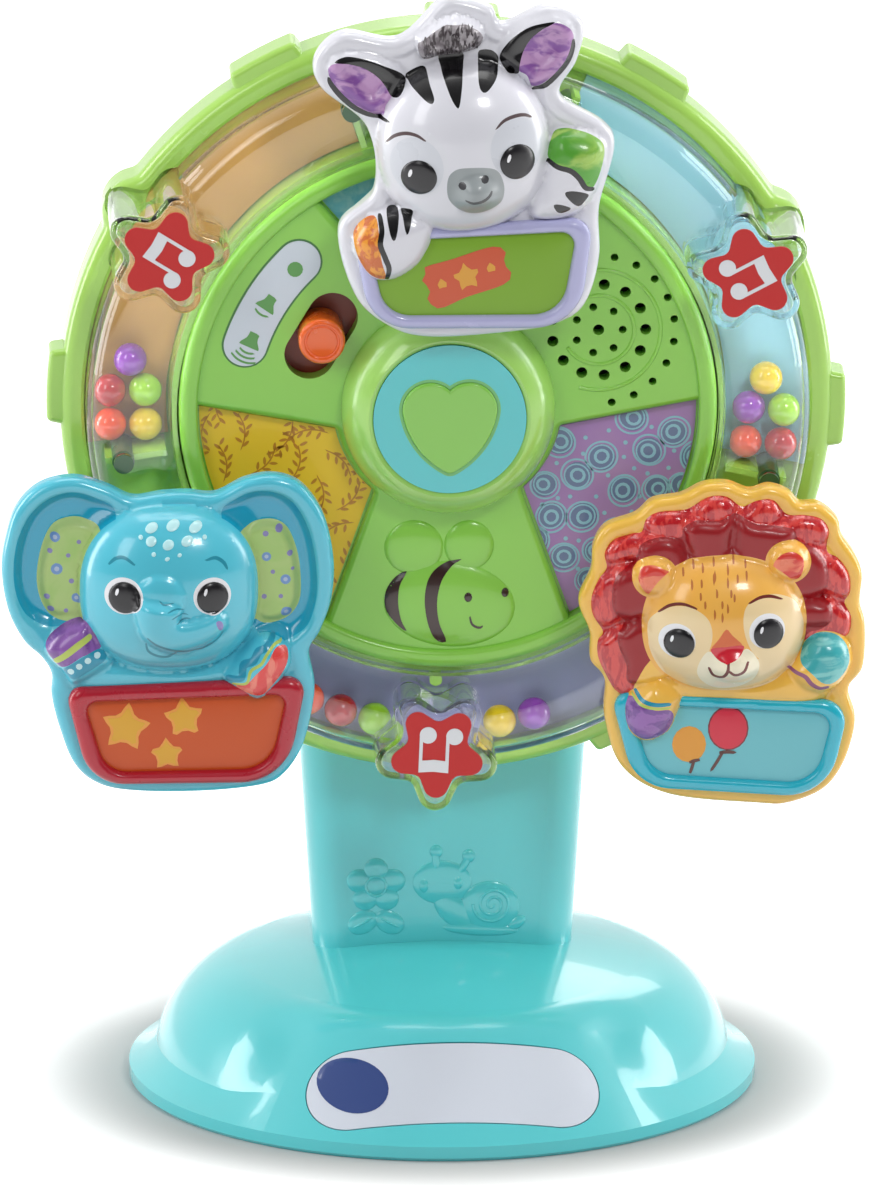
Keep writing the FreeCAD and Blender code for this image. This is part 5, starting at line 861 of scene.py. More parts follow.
def dressElephant(data):
    origin, body, outline, basket, arms = figureLoops(data)
    ears = [smoothLoop(data[k]) for k in ("earLeft", "earRight")]
    patches = [smoothLoop(data[k]) for k in ("patchLeft", "patchRight")]
    trunk = smoothPath([(-1.4, -2.5), (-1.9, -6.0), (-0.9, -10.0), (2.3, -12.2), (6.7, -11.9), (10.7, -10.4),
                        (13.0, -9.0)])
    chest = smoothLoop([(-22, -20), (-8, -21), (6, -23), (18, -20), (24, -14), (26, -24), (20, -27), (0, -29),
                        (-22, -29)])

    def surface(points):
        height = plateAt(points, outline, basket, recess=0.5)
        for ear, patch in zip(ears, patches):
            height = height - 2.4 * softShare(reachOf(points, ear) + 1.6, 4.6)
            height = height + 2.2 * softShare(reachOf(points, patch), 2.4)
        height = smoothMax(height, plateTop - 0.4 + puffAt(points, chest, rise=2.6, width=6), blend=0.8)
        height = smoothMax(height, plateTop - 0.6 + domeAt(points, **data["head"]), blend=1.0)
        for arm, rise in zip(arms, (5.6, 5.8)):
            height = smoothMax(height, plateTop - 0.2 + puffAt(points, arm, rise=rise, width=6), blend=0.7)
        gap, share = pathGap(points, trunk)
        radius = 6.6 - 3.4 * share
        swell = (4.0 - 1.6 * share) * np.sqrt(np.maximum(0, 1 - (gap / radius) ** 2))
        return height + swell * np.clip(share * 6 + 0.35, 0, 1)

    paint("earTeal", (16, 160, 194), roughness=0.18, coat=0.6)
    paint("earLime", (166, 200, 116), roughness=0.4, coat=0.1, second=(178, 204, 128), scale=90, stretch=(1, 1, 1))
    paint("spotLilac", (134, 128, 182), roughness=0.4)
    paint("spotBlue", (110, 146, 200), roughness=0.4)
    paint("spotPale", (176, 190, 214), roughness=0.4)
    paint("lineTeal", (22, 138, 160), roughness=0.3)
    paint("tipLilac", (142, 132, 190), roughness=0.3)
    paint("cuffViolet", (142, 92, 172), second=(118, 72, 148), scale=260, edge=0.12)
    paint("dotPale", (200, 234, 238), roughness=0.3)
    paint("cuffCoral", (232, 70, 68), second=(246, 136, 118), scale=340, stretch=(1, 1, 0.5), edge=0.06, grain=0.8)
    spots, rings = [], []
    for x, y, size in [(-27.3, 10.9, 1.3), (-26.9, 2.6, 1.5), (-22.0, -4.9, 1.2), (-28.6, 7.4, 0.7),
                       (-21.3, 9.6, 0.6), (-24.0, 6.1, 0.6), (-29.4, -4.6, 0.8), (-24.6, -8.3, 0.6),
                       (-19.8, 4.2, 0.8), (-28.4, -8.0, 0.9), (-23.2, -0.6, 0.7), (29.2, 12.4, 1.0),
                       (25.8, 11.2, 0.8), (30.8, -0.8, 1.3), (31.0, -9.4, 1.4), (26.0, 5.2, 1.2), (31.9, 6.0, 0.8),
                       (27.6, 1.2, 0.6), (25.4, -5.2, 0.7), (29.6, -5.2, 0.6), (32.6, 2.0, 0.5)]:
        (rings if size > 1 else spots).append(ellipseLoop((x, y), size, count=18))
    hearts = [loop * 0.45 + loop.mean(0) * 0.55 for loop in rings]
    marks = [
        ("earTeal", ears), ("earLime", patches), ("spotLilac", spots), ("spotBlue", rings), ("spotPale", hearts),
        ("elephantBlue", [domeLoop(data["head"])] + arms),
        ("lineTeal", lines(0.9, 0.5,
            [(-14.1, 6.2), (-12.3, 7.8), (-10.1, 8.1), (-7.6, 6.5)],
            [(10.5, 7.5), (12.8, 7.9), (14.8, 6.6), (15.8, 4.8)])),
        ("lineTeal", lines(0.75, 0.5,
            [(-4.6, -11.9), (-2.2, -13.8), (1.8, -15.4), (6.3, -16.0), (10.3, -15.3), (13.4, -13.1),
             (14.6, -10.8)],
            [(-4.8, -14.2), (-4.2, -16.4), (-2.2, -17.8), (0.4, -18.2), (2.1, -17.2), (2.9, -15.9)])),
        ("lineTeal", lines(0.45, 0.6,
            [(-1.6, -1.9), (-0.3, -3.0), (2.2, -2.6)],
            [(0.4, -4.8), (2.8, -4.1), (4.8, -4.6)],
            [(1.5, -6.6), (3.6, -5.7), (5.6, -6.0)],
            [(2.8, -8.2), (4.9, -7.1), (6.4, -7.2)])),
        ("eyeWhite", [ellipseLoop(c, 4.8, count=44) for c in ((-10.4, -1.5), (11.9, -1.7))]),
        ("tipLilac", area([(12.8, -8.1), (14.0, -7.9), (14.7, -9.3), (14.2, -10.6), (13.3, -9.9)])),
        ("cuffViolet", area(
            [(-29.8, -16.5), (-28.1, -13.8), (-24.1, -10.9), (-20.2, -9.9), (-17.9, -12.4), (-16.4, -15.3),
             (-16.2, -17.1), (-20.7, -18.8), (-25.6, -22.0), (-28.1, -20.0), (-29.4, -18.2)])),
        ("limeBand", lines(1.7, 0.1, [(-27.2, -20.3), (-24.1, -17.8), (-21.3, -15.6), (-18.9, -14.0)])),
        ("bandTeal", area(
            [(-25.2, -22.4), (-20.7, -19.0), (-16.4, -17.1), (-14.5, -19.4), (-17.3, -21.8), (-19.6, -23.3),
             (-22.8, -25.2), (-24.5, -24.1)])),
        ("dotPale", discs(0.85, (-23.6, -23.0), (-21.5, -21.4), (-19.3, -19.9), (-16.9, -18.6))),
        ("cuffCoral", area(
            [(17.9, -27.1), (20.7, -26.5), (23.0, -24.1), (25.8, -21.2), (28.1, -17.4), (30.7, -17.4),
             (31.3, -20.0), (30.1, -23.5), (27.4, -27.1), (25.2, -29.5), (23.0, -29.9), (20.1, -28.9)])),
        ("bandTeal", lines(1.9, 0.2,
            [(16.2, -25.3), (19.3, -25.0), (20.0, -21.8), (22.4, -20.6), (23.8, -18.2), (25.8, -17.1),
             (27.5, -14.9)])),
        ("limeBand", lines(0.8, 0.2,
            [(17.3, -26.8), (20.7, -26.3), (21.8, -23.1), (24.4, -21.3), (25.8, -18.9), (27.8, -16.6),
             (29.6, -16.2)])),
    ]
    paintedFigure(data, outline, surface, marks)
    basketFrame(data, height=3.4)
    freckles = [(-3.2, 15.2, 1.7, 1.1), (2.2, 15.7, 1.8, 1.2), (7.9, 15.2, 1.8, 1.2), (-3.4, 12.2, 1.4, 1.2),
                (0.9, 11.4, 1.5, 1.2), (5.7, 12.2, 1.6, 1.2), (-6.0, 13.1, 0.6, 0.6), (10.1, 12.9, 0.6, 0.6),
                (-2.8, 9.2, 0.6, 0.6), (0.6, 8.1, 0.7, 0.5), (3.7, 9.0, 0.6, 0.5)]
    film("elephantFreckles", [ellipseLoop((x, y), w, h, 25, 22) for x, y, w, h in freckles], surface, origin,
         paint("frecklePale", (188, 234, 238), roughness=0.25, coat=0.5), body, lift=0.08, puff=0.3, puffWidth=1.0,
         spacing=0.5, skirt=0.3)
    eyePair(data, surface)

    flat = basketSheet(data)
    places = [((-9.7, -38.5), 5.7, -8), ((5.0, -36.2), 4.8, 6), ((0.7, -45.7), 4.0, 4)]
    film("elephantStarRims", [starLoop(c, r * 1.12, r * 0.66, t) for c, r, t in places], flat, origin,
         paint("starRim", (236, 160, 62), roughness=0.35), body, lift=0.1, spacing=1.6)
    film("elephantStars", [starLoop(c, r * 0.93, r * 0.52, t) for c, r, t in places], flat, origin,
         paint("starGold", (226, 168, 36), roughness=0.35), body, lift=0.16, spacing=1.6)


dressElephant(elephant)
print("elephant dressed")

lion = {
    "body": "lion",
    "finishes": ("lionYellow", "lionCyan", "lionSky"),
    "head": {"centre": (-0.6, -6.4), "halfWidth": 21.2, "halfHeight": 18.4, "rise": 13.2, "square": 2.3},
    "muzzle": {"centre": (1.4, -15.2), "halfWidth": 8.6, "halfHeight": 6.6, "rise": 14.6},
    "eyes": {"centres": [(-12.3, -9.8), (10.3, -7.4)], "radius": 3.85, "glints": [(-14.1, -8.5), (8.5, -6.1)]},
    "pivot": (69.24, 141.56),
    "outline": [
        (-37.1, -1.8), (-34.0, 6.4), (-33.4, 13.0), (-30.2, 18.0), (-22.8, 20.8), (-18.4, 24.5), (-11.2, 25.8),
        (-5.7, 28.5), (0.4, 28.8), (5.9, 26.8), (10.8, 28.0), (15.8, 26.3), (18.6, 23.4), (23.5, 23.1),
        (28.2, 19.1), (29.3, 14.8), (32.6, 9.7), (34.5, 4.5), (34.0, -2.9), (35.3, -8.7), (34.8, -19.7),
        (31.2, -25.3), (32.8, -32.1), (32.3, -37.9), (29.5, -45.9), (24.6, -51.9), (16.0, -55.3), (8.3, -55.3),
        (-14.0, -52.7), (-26.1, -45.3), (-30.5, -32.4), (-30.5, -22.1), (-34.1, -17.2), (-34.3, -9.8)],
    "frame": [(-29.4, -24.6), (31.6, -28.0), (25.8, -53.4), (-23.0, -49.8)],
    "panel": [(-24.6, -28.0), (27.2, -31.2), (22.6, -49.6), (-18.6, -46.4)],
    "corner": [4, 6, 13, 12],
    "outer": [
        (-27.4, -25.1), (-30.5, -20.2), (-32.3, -15.6), (-32.3, -11.6), (-31.0, -9.3), (-33.6, -4.8), (-33.9, -0.2),
        (-32.1, 4.4), (-30.1, 7.3), (-30.6, 11.3), (-28.2, 14.7), (-23.6, 16.2), (-21.2, 16.8), (-20.1, 20.0),
        (-17.0, 21.8), (-10.9, 22.2), (-8.7, 23.0), (-4.3, 25.6), (0.1, 25.6), (4.0, 23.0), (7.8, 24.5),
        (12.0, 24.5), (15.3, 20.8), (19.7, 20.6), (24.0, 19.5), (26.0, 16.4), (25.5, 11.3), (28.5, 9.0),
        (31.1, 5.0), (31.4, 0.4), (30.0, -2.5), (31.6, -5.9), (31.4, -9.9), (29.3, -11.6), (18.8, -13.6),
        (-3.2, -19.4), (-23.0, -25.4)],
    "inner": [
        (-23.6, -22.5), (-25.2, -17.4), (-26.9, -13.3), (-27.4, -9.9), (-25.8, -6.5), (-28.5, -3.0), (-28.8, 2.1),
        (-27.4, 6.1), (-23.6, 9.0), (-22.5, 11.3), (-21.4, 14.1), (-17.0, 15.8), (-11.5, 15.8), (-10.9, 18.1),
        (-7.6, 20.1), (-2.1, 19.9), (2.3, 21.5), (6.7, 19.3), (10.6, 18.7), (16.6, 17.6), (18.3, 14.7),
        (22.1, 12.4), (25.2, 8.4), (25.7, 3.3), (24.3, -0.2), (26.5, -2.5), (26.5, -6.5), (23.8, -8.8),
        (20.5, -9.9), (13.3, -16.5), (-8.7, -19.4)],
    "outerCreases": [
        ((-31.6, -9.3), (-25.8, -6.5)), ((-30.5, 7.3), (-23.6, 9.0)), ((-21.4, 17.0), (-18.6, 15.3)),
        ((-9.3, 23.0), (-8.7, 19.6)), ((4.0, 23.3), (2.9, 21.6)), ((15.5, 21.0), (13.3, 18.4)),
        ((25.7, 11.3), (22.1, 12.4)), ((30.4, -2.5), (24.3, -0.2))],
    "innerCreases": [
        ((-25.8, -6.5), (-19.6, -4.5)), ((-23.6, 9.0), (-18.4, 6.0)), ((-11.5, 15.8), (-9.5, 11.6)),
        ((2.3, 21.0), (1.4, 13.0)), ((18.3, 14.7), (14.5, 11.0)), ((24.3, -0.2), (19.0, -0.6)),
        ((23.8, -8.8), (19.0, -8.0))],
    "armLeft": [
        (-25.8, -26.5), (-23.0, -23.6), (-18.6, -20.8), (-14.2, -22.5), (-10.9, -25.9), (-12.0, -30.5),
        (-14.2, -35.2), (-18.1, -37.6), (-21.6, -37.6), (-24.7, -35.4), (-26.1, -31.1)],
    "armRight": [
        (15.0, -18.5), (18.3, -14.5), (20.5, -11.3), (23.8, -9.3), (28.2, -9.9), (31.2, -12.8), (32.0, -17.4),
        (30.4, -21.4), (27.1, -24.8), (22.1, -25.7), (17.7, -23.6)],
}


def dressLion(data):
    origin, body, outline, basket, arms = figureLoops(data)
    outer, inner = smoothLoop(data["outer"]), smoothLoop(data["inner"])
    earCentres = ((-18.1, 6.1), (15.5, 9.6))
    chest = smoothLoop([(-22, -18), (-8, -20), (6, -22), (16, -18), (24, -16), (27, -24), (20, -29), (0, -28),
                        (-16, -27), (-24, -25)])

    def surface(points):
        height = plateAt(points, outline, basket, edge=2.0, lipWidth=2.6, recess=0.5)
        petals = puffAt(points, outer, rise=2.8, width=3.4)
        for a, b in data["outerCreases"]:
            petals = petals - creaseAt(points, np.array([a, b], float), width=3.4, depth=2.4)
        height = smoothMax(height, plateTop - 0.5 + petals, blend=0.5)
        petals = puffAt(points, inner, rise=2.4, width=3.6)
        for a, b in data["innerCreases"]:
            petals = petals - creaseAt(points, np.array([a, b], float), width=3.8, depth=2.2)
        height = smoothMax(height, plateTop + 2.2 + petals, blend=0.4)
        height = smoothMax(height, plateTop - 0.2 + puffAt(points, chest, rise=3.4, width=6), blend=0.8)
        height = smoothMax(height, plateTop - 0.6 + domeAt(points, **data["head"]), blend=0.9)
        for centre in earCentres:
            hollow = 1.6 * np.exp(-((points - centre) ** 2).sum(1) / 7)
            ear = domeAt(points, centre, halfWidth=6.0, halfHeight=5.8, rise=8.6) - hollow
            height = smoothMax(height, plateTop + ear, blend=0.5)
        for arm, rise in zip(arms, (6.6, 7.0)):
            height = smoothMax(height, plateTop - 0.2 + puffAt(points, arm, rise=rise, width=6.5), blend=0.7)
        return smoothMax(height, plateTop - 0.6 + domeAt(points, **data["muzzle"]), blend=2.6)

    paint("maneRed", (190, 22, 32), second=(222, 66, 60), scale=620, stretch=(1, 1, 0.3), edge=0.06, roughness=0.16,
          coat=0.6, grain=0.6)
    paint("maneCrimson", (152, 6, 18), roughness=0.3, coat=0.2)
    paint("faceAmber", (240, 170, 62), second=(246, 190, 92), scale=30, edge=0.3, roughness=0.2, coat=0.5)
    paint("earAmber", (244, 184, 78), roughness=0.22, coat=0.5)
    paint("earRed", (218, 58, 48), second=(240, 128, 96), scale=330, stretch=(0.4, 1, 1), edge=0.06)
    paint("faceCream", (243, 222, 176), second=(243, 212, 158), scale=30, edge=0.3, roughness=0.2, coat=0.5)
    paint("muzzleCream", (247, 238, 210), roughness=0.22, coat=0.5)
    paint("bridgeOrange", (216, 100, 40), roughness=0.28)
    paint("noseRed", (212, 30, 50), roughness=0.18, coat=0.5)
    paint("lineBrown", (108, 32, 24), roughness=0.3)
    paint("dashBrown", (186, 108, 40), roughness=0.35)
    paint("mittViolet", (150, 100, 176), second=(120, 74, 152), scale=360, stretch=(0.5, 1, 1), edge=0.05, grain=0.5)
    paint("mittTeal", (60, 174, 180), second=(128, 208, 206), scale=300, stretch=(0.3, 1, 1), edge=0.08)
    paint("squigglePlum", (146, 72, 118), roughness=0.3)
    dashes = [(-11.1, 7.7), (-8.5, 9.4), (-6.2, 8.7), (-3.4, 10.1), (-3.2, 7.0), (0.1, 8.4), (1.6, 10.5),
              (4.6, 9.6), (-9.0, 5.0), (-6.6, 5.4), (-3.5, 6.5), (0.0, 5.6), (-6.9, 2.4), (-2.8, 3.1), (0.8, 3.1),
              (-5.8, 0.4), (-1.5, 0.5), (1.6, 2.1), (-3.4, -1.9), (-0.1, -0.6), (-1.5, -2.7), (2.5, 6.5),
              (4.8, 7.2)]
    marks = [
        ("maneRed", [outer]), ("maneCrimson", [inner]),
        ("lionYellow", area(
            [(-23.5, -24.5), (-18, -15), (-8.7, -21.0), (13.3, -17.5), (20, -11.5), (27, -12.5), (28, -25),
             (10, -28), (-18, -26.5)]) + arms),
        ("earAmber", [ellipseLoop(centre, 5.8, 5.6, 0, 44) for centre in earCentres]),
        ("earRed", area(
            [(-22.4, 6.3), (-21.3, 9.1), (-18.6, 9.7), (-15.8, 8.6), (-14.4, 7.2), (-17.5, 3.8), (-19.4, 1.8),
             (-21.3, 3.4)],
            [(11.6, 8.9), (13.4, 12.0), (16.7, 12.8), (19.2, 10.8), (19.0, 7.4), (17.6, 5.2), (14.2, 6.6)])),
        ("faceAmber", [domeLoop(data["head"])]),
        ("faceCream", area(
            [(-19.6, -10.4), (-15.3, -17.4), (-9.0, -16.6), (-3.7, -13.2), (4.0, -12.0), (8.5, -14.3),
             (15.3, -14.9), (19.3, -10.8), (17.9, -15.6), (14.2, -20.4), (8.4, -23.6), (-0.4, -24.3),
             (-8.6, -22.9), (-15.2, -19.4), (-18.7, -14.6)],
            [(-20.0, -6.4), (-17.7, -2.5), (-13.4, -0.3), (-9.1, -0.4), (-5.3, -2.8), (-4.0, -6.7),
             (-4.8, -11.5), (-6.9, -15.4), (-11.2, -17.9), (-15.4, -17.6), (-18.9, -13.9)],
            [(4.6, -0.1), (7.4, 1.8), (11.9, 2.4), (16.4, 0.5), (18.5, -2.7), (19.5, -7.8), (17.9, -13.0),
             (14.8, -16.2), (10.8, -15.9), (6.8, -12.9), (4.6, -8.5), (3.8, -3.9)])),
        ("muzzleCream", area(
            [(-6.9, -14.1), (-4.8, -11.5), (-2.0, -13.4), (-0.4, -13.7), (2.4, -12.6), (4.6, -10.9),
             (6.8, -12.9), (8.0, -15.9), (6.7, -19.9), (2.7, -22.5), (-2.0, -23.0), (-5.9, -20.9), (-7.7, -17.8)])),
        ("bridgeOrange", area(
            [(-0.5, -5.6), (1.0, -7.2), (3.8, -10.3), (-0.4, -10.6), (-4.3, -11.0), (-2.3, -8.1)], steps=3)),
        ("noseRed", area(
            [(-4.4, -10.9), (-0.4, -10.3), (4.0, -10.1), (2.7, -12.9), (0.1, -14.3), (-0.7, -14.4),
             (-2.8, -13.4)], steps=4)),
        ("lineBrown", lines(0.85, 0.3,
            [(-4.8, -16.1), (-3.6, -18.2), (-1.4, -18.4), (-0.2, -16.5), (0.0, -14.5)],
            [(0.0, -16.2), (1.8, -17.5), (4.0, -16.6), (5.0, -14.2)])),
        ("lineBrown", lines(0.8, 0.5,
            [(-17.3, -2.2), (-14.5, -0.2), (-11.3, 0.4), (-7.9, -0.5)],
            [(5.3, 0.7), (8.0, 1.9), (10.8, 2.0), (13.6, 1.0)])),
        ("dashBrown", lines(0.6, 0.5, *[[(x, y + 1.0), (x + 0.05, y), (x, y - 1.0)] for x, y in dashes])),
        ("eyeWhite", [ellipseLoop(c, 4.6, count=44) for c in ((-12.8, -9.2), (9.9, -6.7))]),
        ("mittViolet", area(
            [(-25.1, -26.1), (-23.2, -25.5), (-21.0, -27.2), (-18.2, -28.4), (-14.4, -28.7), (-13.3, -31.2),
             (-14.9, -34.6), (-18.2, -36.4), (-21.5, -36.4), (-24.3, -34.1), (-25.4, -30.7)])),
        ("bandTeal", lines(1.1, 0.2, [(-22.9, -24.1), (-21.2, -26.1), (-18.2, -27.0), (-14.4, -27.1)])),
        ("limeBand", lines(0.7, 0.2, [(-23.7, -24.9), (-21.8, -27.0), (-18.8, -27.9), (-14.4, -28.1)])),
        ("mittTeal", area(
            [(18.9, -14.6), (20.5, -11.2), (23.6, -9.5), (27.5, -10.0), (30.2, -12.4), (31.1, -16.4),
             (29.7, -19.8), (26.9, -22.1), (24.2, -21.8), (21.4, -19.2), (18.9, -16.9)])),
        ("squigglePlum", lines(1.2, 0.3,
            [(15.7, -18.1), (17.6, -19.2), (19.8, -20.1), (21.4, -22.1), (23.6, -23.5), (25.6, -23.2)])),
    ]
    paintedFigure(data, outline, surface, marks)
    basketFrame(data)
    eyePair(data, surface)

    flat = basketSheet(data)
    for name, centre, halfWidth, colourName, colour, roughness, lift in (
            ("Rims", (0.6, -34.7), 5.15, "balloonEdge", (120, 34, 44), 0.35, 0.1),
            ("Red", (0.6, -34.7), 4.8, "balloonRed", (214, 34, 62), 0.3, 0.16),
            ("Gold", (-9.3, -38.7), 4.3, "balloonGold", (230, 156, 44), 0.3, 0.12)):
        halfHeight = halfWidth + (0.45 if name == "Gold" else 0.55)
        film("lionBalloon" + name, [ellipseLoop(centre, halfWidth, halfHeight, count=40)], flat, origin,
             paint(colourName, colour, roughness=roughness), body, lift=lift, spacing=1.8)
    strings = lines(0.8, 0.2, [(-8.0, -43.0), (-8.5, -44.8), (-9.0, -46.4)],
                    [(-0.7, -40.7), (-2.2, -43.4), (-3.7, -45.8)])
    knots = lines(0.9, 0.3, [(-9.2, -43.5), (-8.0, -43.1), (-6.6, -42.8)],
                  [(-1.6, -41.0), (0.4, -40.8), (2.4, -41.0)])
    film("lionBalloonTies", [strings[0], knots[0], strings[1], knots[1]], flat, origin,
         paint("tieBrown", (84, 40, 34), roughness=0.4), body, lift=0.18, spacing=0.9)


dressLion(lion)
print("lion dressed")


def onPod(name, loops, surface, material, **settings):
    film(name, loops, surface, (0, axisHeight), material, "stand", **settings)


bee = {
    "colour": (44, 14, 10),
    "stripes": [
        [(-10.5, -42.5), (-13.6, -44.4), (-15.8, -48.0), (-15.8, -52.5), (-13.2, -56.2), (-10.5, -58.4),
         (-11.9, -55.3), (-12.7, -50.7), (-12.3, -46.2)],
        [(3.4, -39.3), (-1.8, -40.9), (-4.9, -44.1), (-6.0, -49.5), (-5.2, -55.9), (-3.2, -60.4), (-0.5, -60.9),
         (-2.3, -55.9), (-2.9, -50.4), (-1.8, -45.0), (0.8, -41.3)]],
    "eyes": [((5.0, -49.1), 1.0, 1.25), ((14.4, -48.3), 0.95, 1.2)],
    "smile": [(5.4, -54.1), (6.0, -56.3), (7.8, -57.3), (8.8, -56.8)],
}


def dressBee(data):
    panel, brown = castOn("panel_front", fallback=35.4), paint("beeBrown", data["colour"], roughness=0.28, coat=0.4)
    onPod("beeStripes", area(*data["stripes"]), panel, brown)
    onPod("beeEyes", [ellipseLoop(*eye, count=18) for eye in data["eyes"]], panel, brown, lift=0.14, puff=0.3,
          puffWidth=1, spacing=0.7)
    onPod("beeSmile", lines(0.6, 0.5, data["smile"]), panel, brown, lift=0.14, spacing=0.7)


dressBee(bee)
print("bee painted")

heartSeam = {"colour": (112, 188, 110), "inner": 0.08, "outer": 0.85, "level": 46.2}


def heartLoop(grow):
    lobe, tip = 7.068, 2.04
    centre, tipCentre = np.array([4.932, 2.532]), np.array([0, -12.0])
    shoulder = math.radians(-10)  # where the lobe's arc turns into the side's
    out = polar(1, shoulder)
    span = centre + out * lobe - tipCentre
    reach = (span @ span - tip ** 2) / (2 * (span @ out - tip))
    sideCentre = centre + out * (lobe - reach)
    low = math.atan2(*(tipCentre - sideCentre)[::-1])
    arcs = ((centre, lobe, math.acos(-centre[0] / (lobe + grow)), shoulder), (sideCentre, reach, shoulder, low),
            (tipCentre, tip, low, -math.pi / 2))
    right = np.array([middle + polar(radius + grow, angle)
                      for middle, radius, first, last in arcs for angle in np.linspace(first, last, 20)])
    return np.concatenate([right, right[::-1] * (-1, 1)])


def dressHeart(data):
    onPod("heartSeam", [heartLoop(data["outer"])], lambda points: np.full(len(points), data["level"]),
          paint("seamGreen", data["colour"], roughness=0.2, coat=0.4), lift=0.05, spacing=0.7, skirt=0.3,
          holes={0: [heartLoop(data["inner"])]})


dressHeart(heartSeam)
print("heart's seam drawn")

volumeIcons = {
    "colour": (86, 150, 72),
    "disc": ((-38.6, 36.8), 2.0),
    "speakers": [((-45.0, 28.6), 235, 1), ((-49.3, 19.0), 245, 3)],  # centre, degrees and number of waves
    "cone": [(-1.4, -1.3), (0.3, -1.3), (2.6, -3.0), (2.6, 3.0), (0.3, 1.3), (-1.4, 1.3)],
}


def speakerIcon(cone, centre, turn, waves):
    spin = math.radians(turn)
    rotate = np.array([polar(1, spin), polar(1, spin + math.pi / 2)])
    loops = [evenly(np.array(cone), 0.7) @ rotate + centre]
    for k in range(waves):
        arc = np.array([(0.6, 0) + polar(3.6 + 1.25 * k, angle) for angle in np.linspace(-0.6, 0.6, 5)])
        loops.append(strokeLoop(arc @ rotate + centre, 0.55, 0.2))
    return loops


def dressIcons(data):
    icons = [ellipseLoop(*data["disc"], count=24)]
    for speaker in data["speakers"]:
        icons += speakerIcon(data["cone"], *speaker)
    onPod("volumeIcons", icons, castOn("volume_label", fallback=35.8),
          paint("iconGreen", data["colour"], roughness=0.35), lift=0.1, spacing=0.9, skirt=0.25)


dressIcons(volumeIcons)
print("volume icons drawn")

sprigs = {"colour": (196, 130, 26), "wedge": 210, "rows": 7, "columns": 6, "leaves": 9, "length": 10, "bend": 1.6}


def wedgeLoop(angle):
    loop = []
    for radius, half, way in ((62.6, 30.4, 1), (29.1, 18.4, -1)):
        loop += [polar(radius, math.radians(angle + half * share)) for share in np.linspace(-way, way, 24)]
    return np.array(loop)


def dressLeaves(data):
    wedge, length = wedgeLoop(data["wedge"]), data["length"]
    rng = random.Random(21)
    strokes = []
    for row in range(data["rows"]):
        for column in range(data["columns"]):
            x, y = -66 + 9.2 * column + 4.6 * (row % 2), 2 - 8.4 * row
            x, y = x + rng.uniform(-1.6, 1.6), y + rng.uniform(-1.4, 1.4)
            if reachOf(np.array([(x, y)]), wedge)[0] < -6:
                continue
            ahead = polar(1, rng.uniform(0, 2 * math.pi))
            side = np.array([-ahead[1], ahead[0]])
            bend = rng.choice((-data["bend"], data["bend"]))

            def onStem(t):
                return (x, y) + ahead * (t - 0.5) * length + side * math.sin(t * 3) * bend

            strokes.append(strokeLoop([onStem(t) for t in (0, 0.33, 0.66, 1)], 0.4, 0.5))
            for k in range(data["leaves"]):
                sway = (0.75 if k % 2 else -0.75) + rng.uniform(-0.2, 0.2)
                way = ahead * math.cos(sway) + side * math.sin(sway)
                strokes.append(strokeLoop([onStem(0.08 + 0.11 * k) + way * d for d in (0.3, 1.4, 2.6)], 0.8, 0.9))
    onPod("leafSprigs", strokes, castOn("leaf_sheet", fallback=32.3),
          paint("sprigBrown", data["colour"], roughness=0.45), lift=0.06, spacing=1.0, skirt=0.15, clip=wedge)


dressLeaves(sprigs)
print("leaf sheet printed")

ringPrints = {
    "wedge": 330,
    "pale": (146, 196, 214),
    "core": (104, 122, 160),
    "circles": ((3.9, 0.5), (3.05, 0.4), (1.6, 0.7)),  # radius and width of each ring's circles
    "rings": [  # x, y and size
        (28.4, -9.9, 1), (39.0, -14.2, 1), (32.9, -18.8, 1), (57.2, -7.9, 1), (50.9, -12.6, 1), (44.5, -22.8, 1),
        (53.0, -22.5, 0.9), (24.4, -21.3, 0.9), (26.3, -29.5, 1), (34.3, -29.6, 1), (29.4, -40.3, 0.95),
        (35.4, -46.4, 0.8), (42.6, -34.0, 1), (50.0, -32.0, 0.9), (37.6, -38.9, 0.9), (46.8, -3.9, 1),
        (62.6, -14.4, 1), (59.6, -22.0, 0.9), (22.4, -35.6, 0.9)],
    "dots": [
        (34.9, -9.0), (45.0, -10.4), (40.8, -7.2), (51.6, -6.4), (55.9, -17.2), (40.6, -19.0), (37.6, -24.5),
        (47.2, -17.2), (29.9, -35.4), (39.7, -28.8), (33.2, -36.0), (57.3, -12.7), (46.6, -28.6), (27.6, -15.6),
        (27.9, -24.8), (34.3, -13.2), (44.6, -14.2), (50.6, -18.6), (38.4, -33.8), (31.0, -24.4), (48.6, -24.6),
        (23.9, -26.4), (42.4, -40.2), (33.0, -43.4)],
}


def dressRings(data):
    sheet, wedge = castOn("ring_sheet", fallback=32.3), wedgeLoop(data["wedge"])
    pale = paint("ringPale", data["pale"], roughness=0.45)
    rings = []
    for x, y, size in data["rings"]:
        for radius, width in data["circles"]:
            middle = (x + 0.25 * math.sin(7 * radius + x), y + 0.25 * math.cos(5 * radius + y))
            rings.append([ellipseLoop(middle, reach * size, reach * size * 1.06, 40 * x, 32)
                          for reach in (radius + width / 2, radius - width / 2)])
    onPod("ringCores", [ellipseLoop((x, y), 3.5 * size, count=30) for x, y, size in data["rings"]], sheet,
          paint("ringCore", data["core"], roughness=0.45), lift=0.05, spacing=1.6, skirt=0.12, clip=wedge)
    onPod("ringCircles", [outer for outer, _ in rings], sheet, pale, lift=0.1, spacing=0.9, skirt=0.12,
          holes={i: [inner] for i, (_, inner) in enumerate(rings)}, clip=wedge)
    onPod("ringDots", [ellipseLoop(dot, 0.6, count=14) for dot in data["dots"]], sheet, pale, lift=0.1, spacing=0.7,
          skirt=0.12, clip=wedge)


dressRings(ringPrints)
print("ring sheet printed")
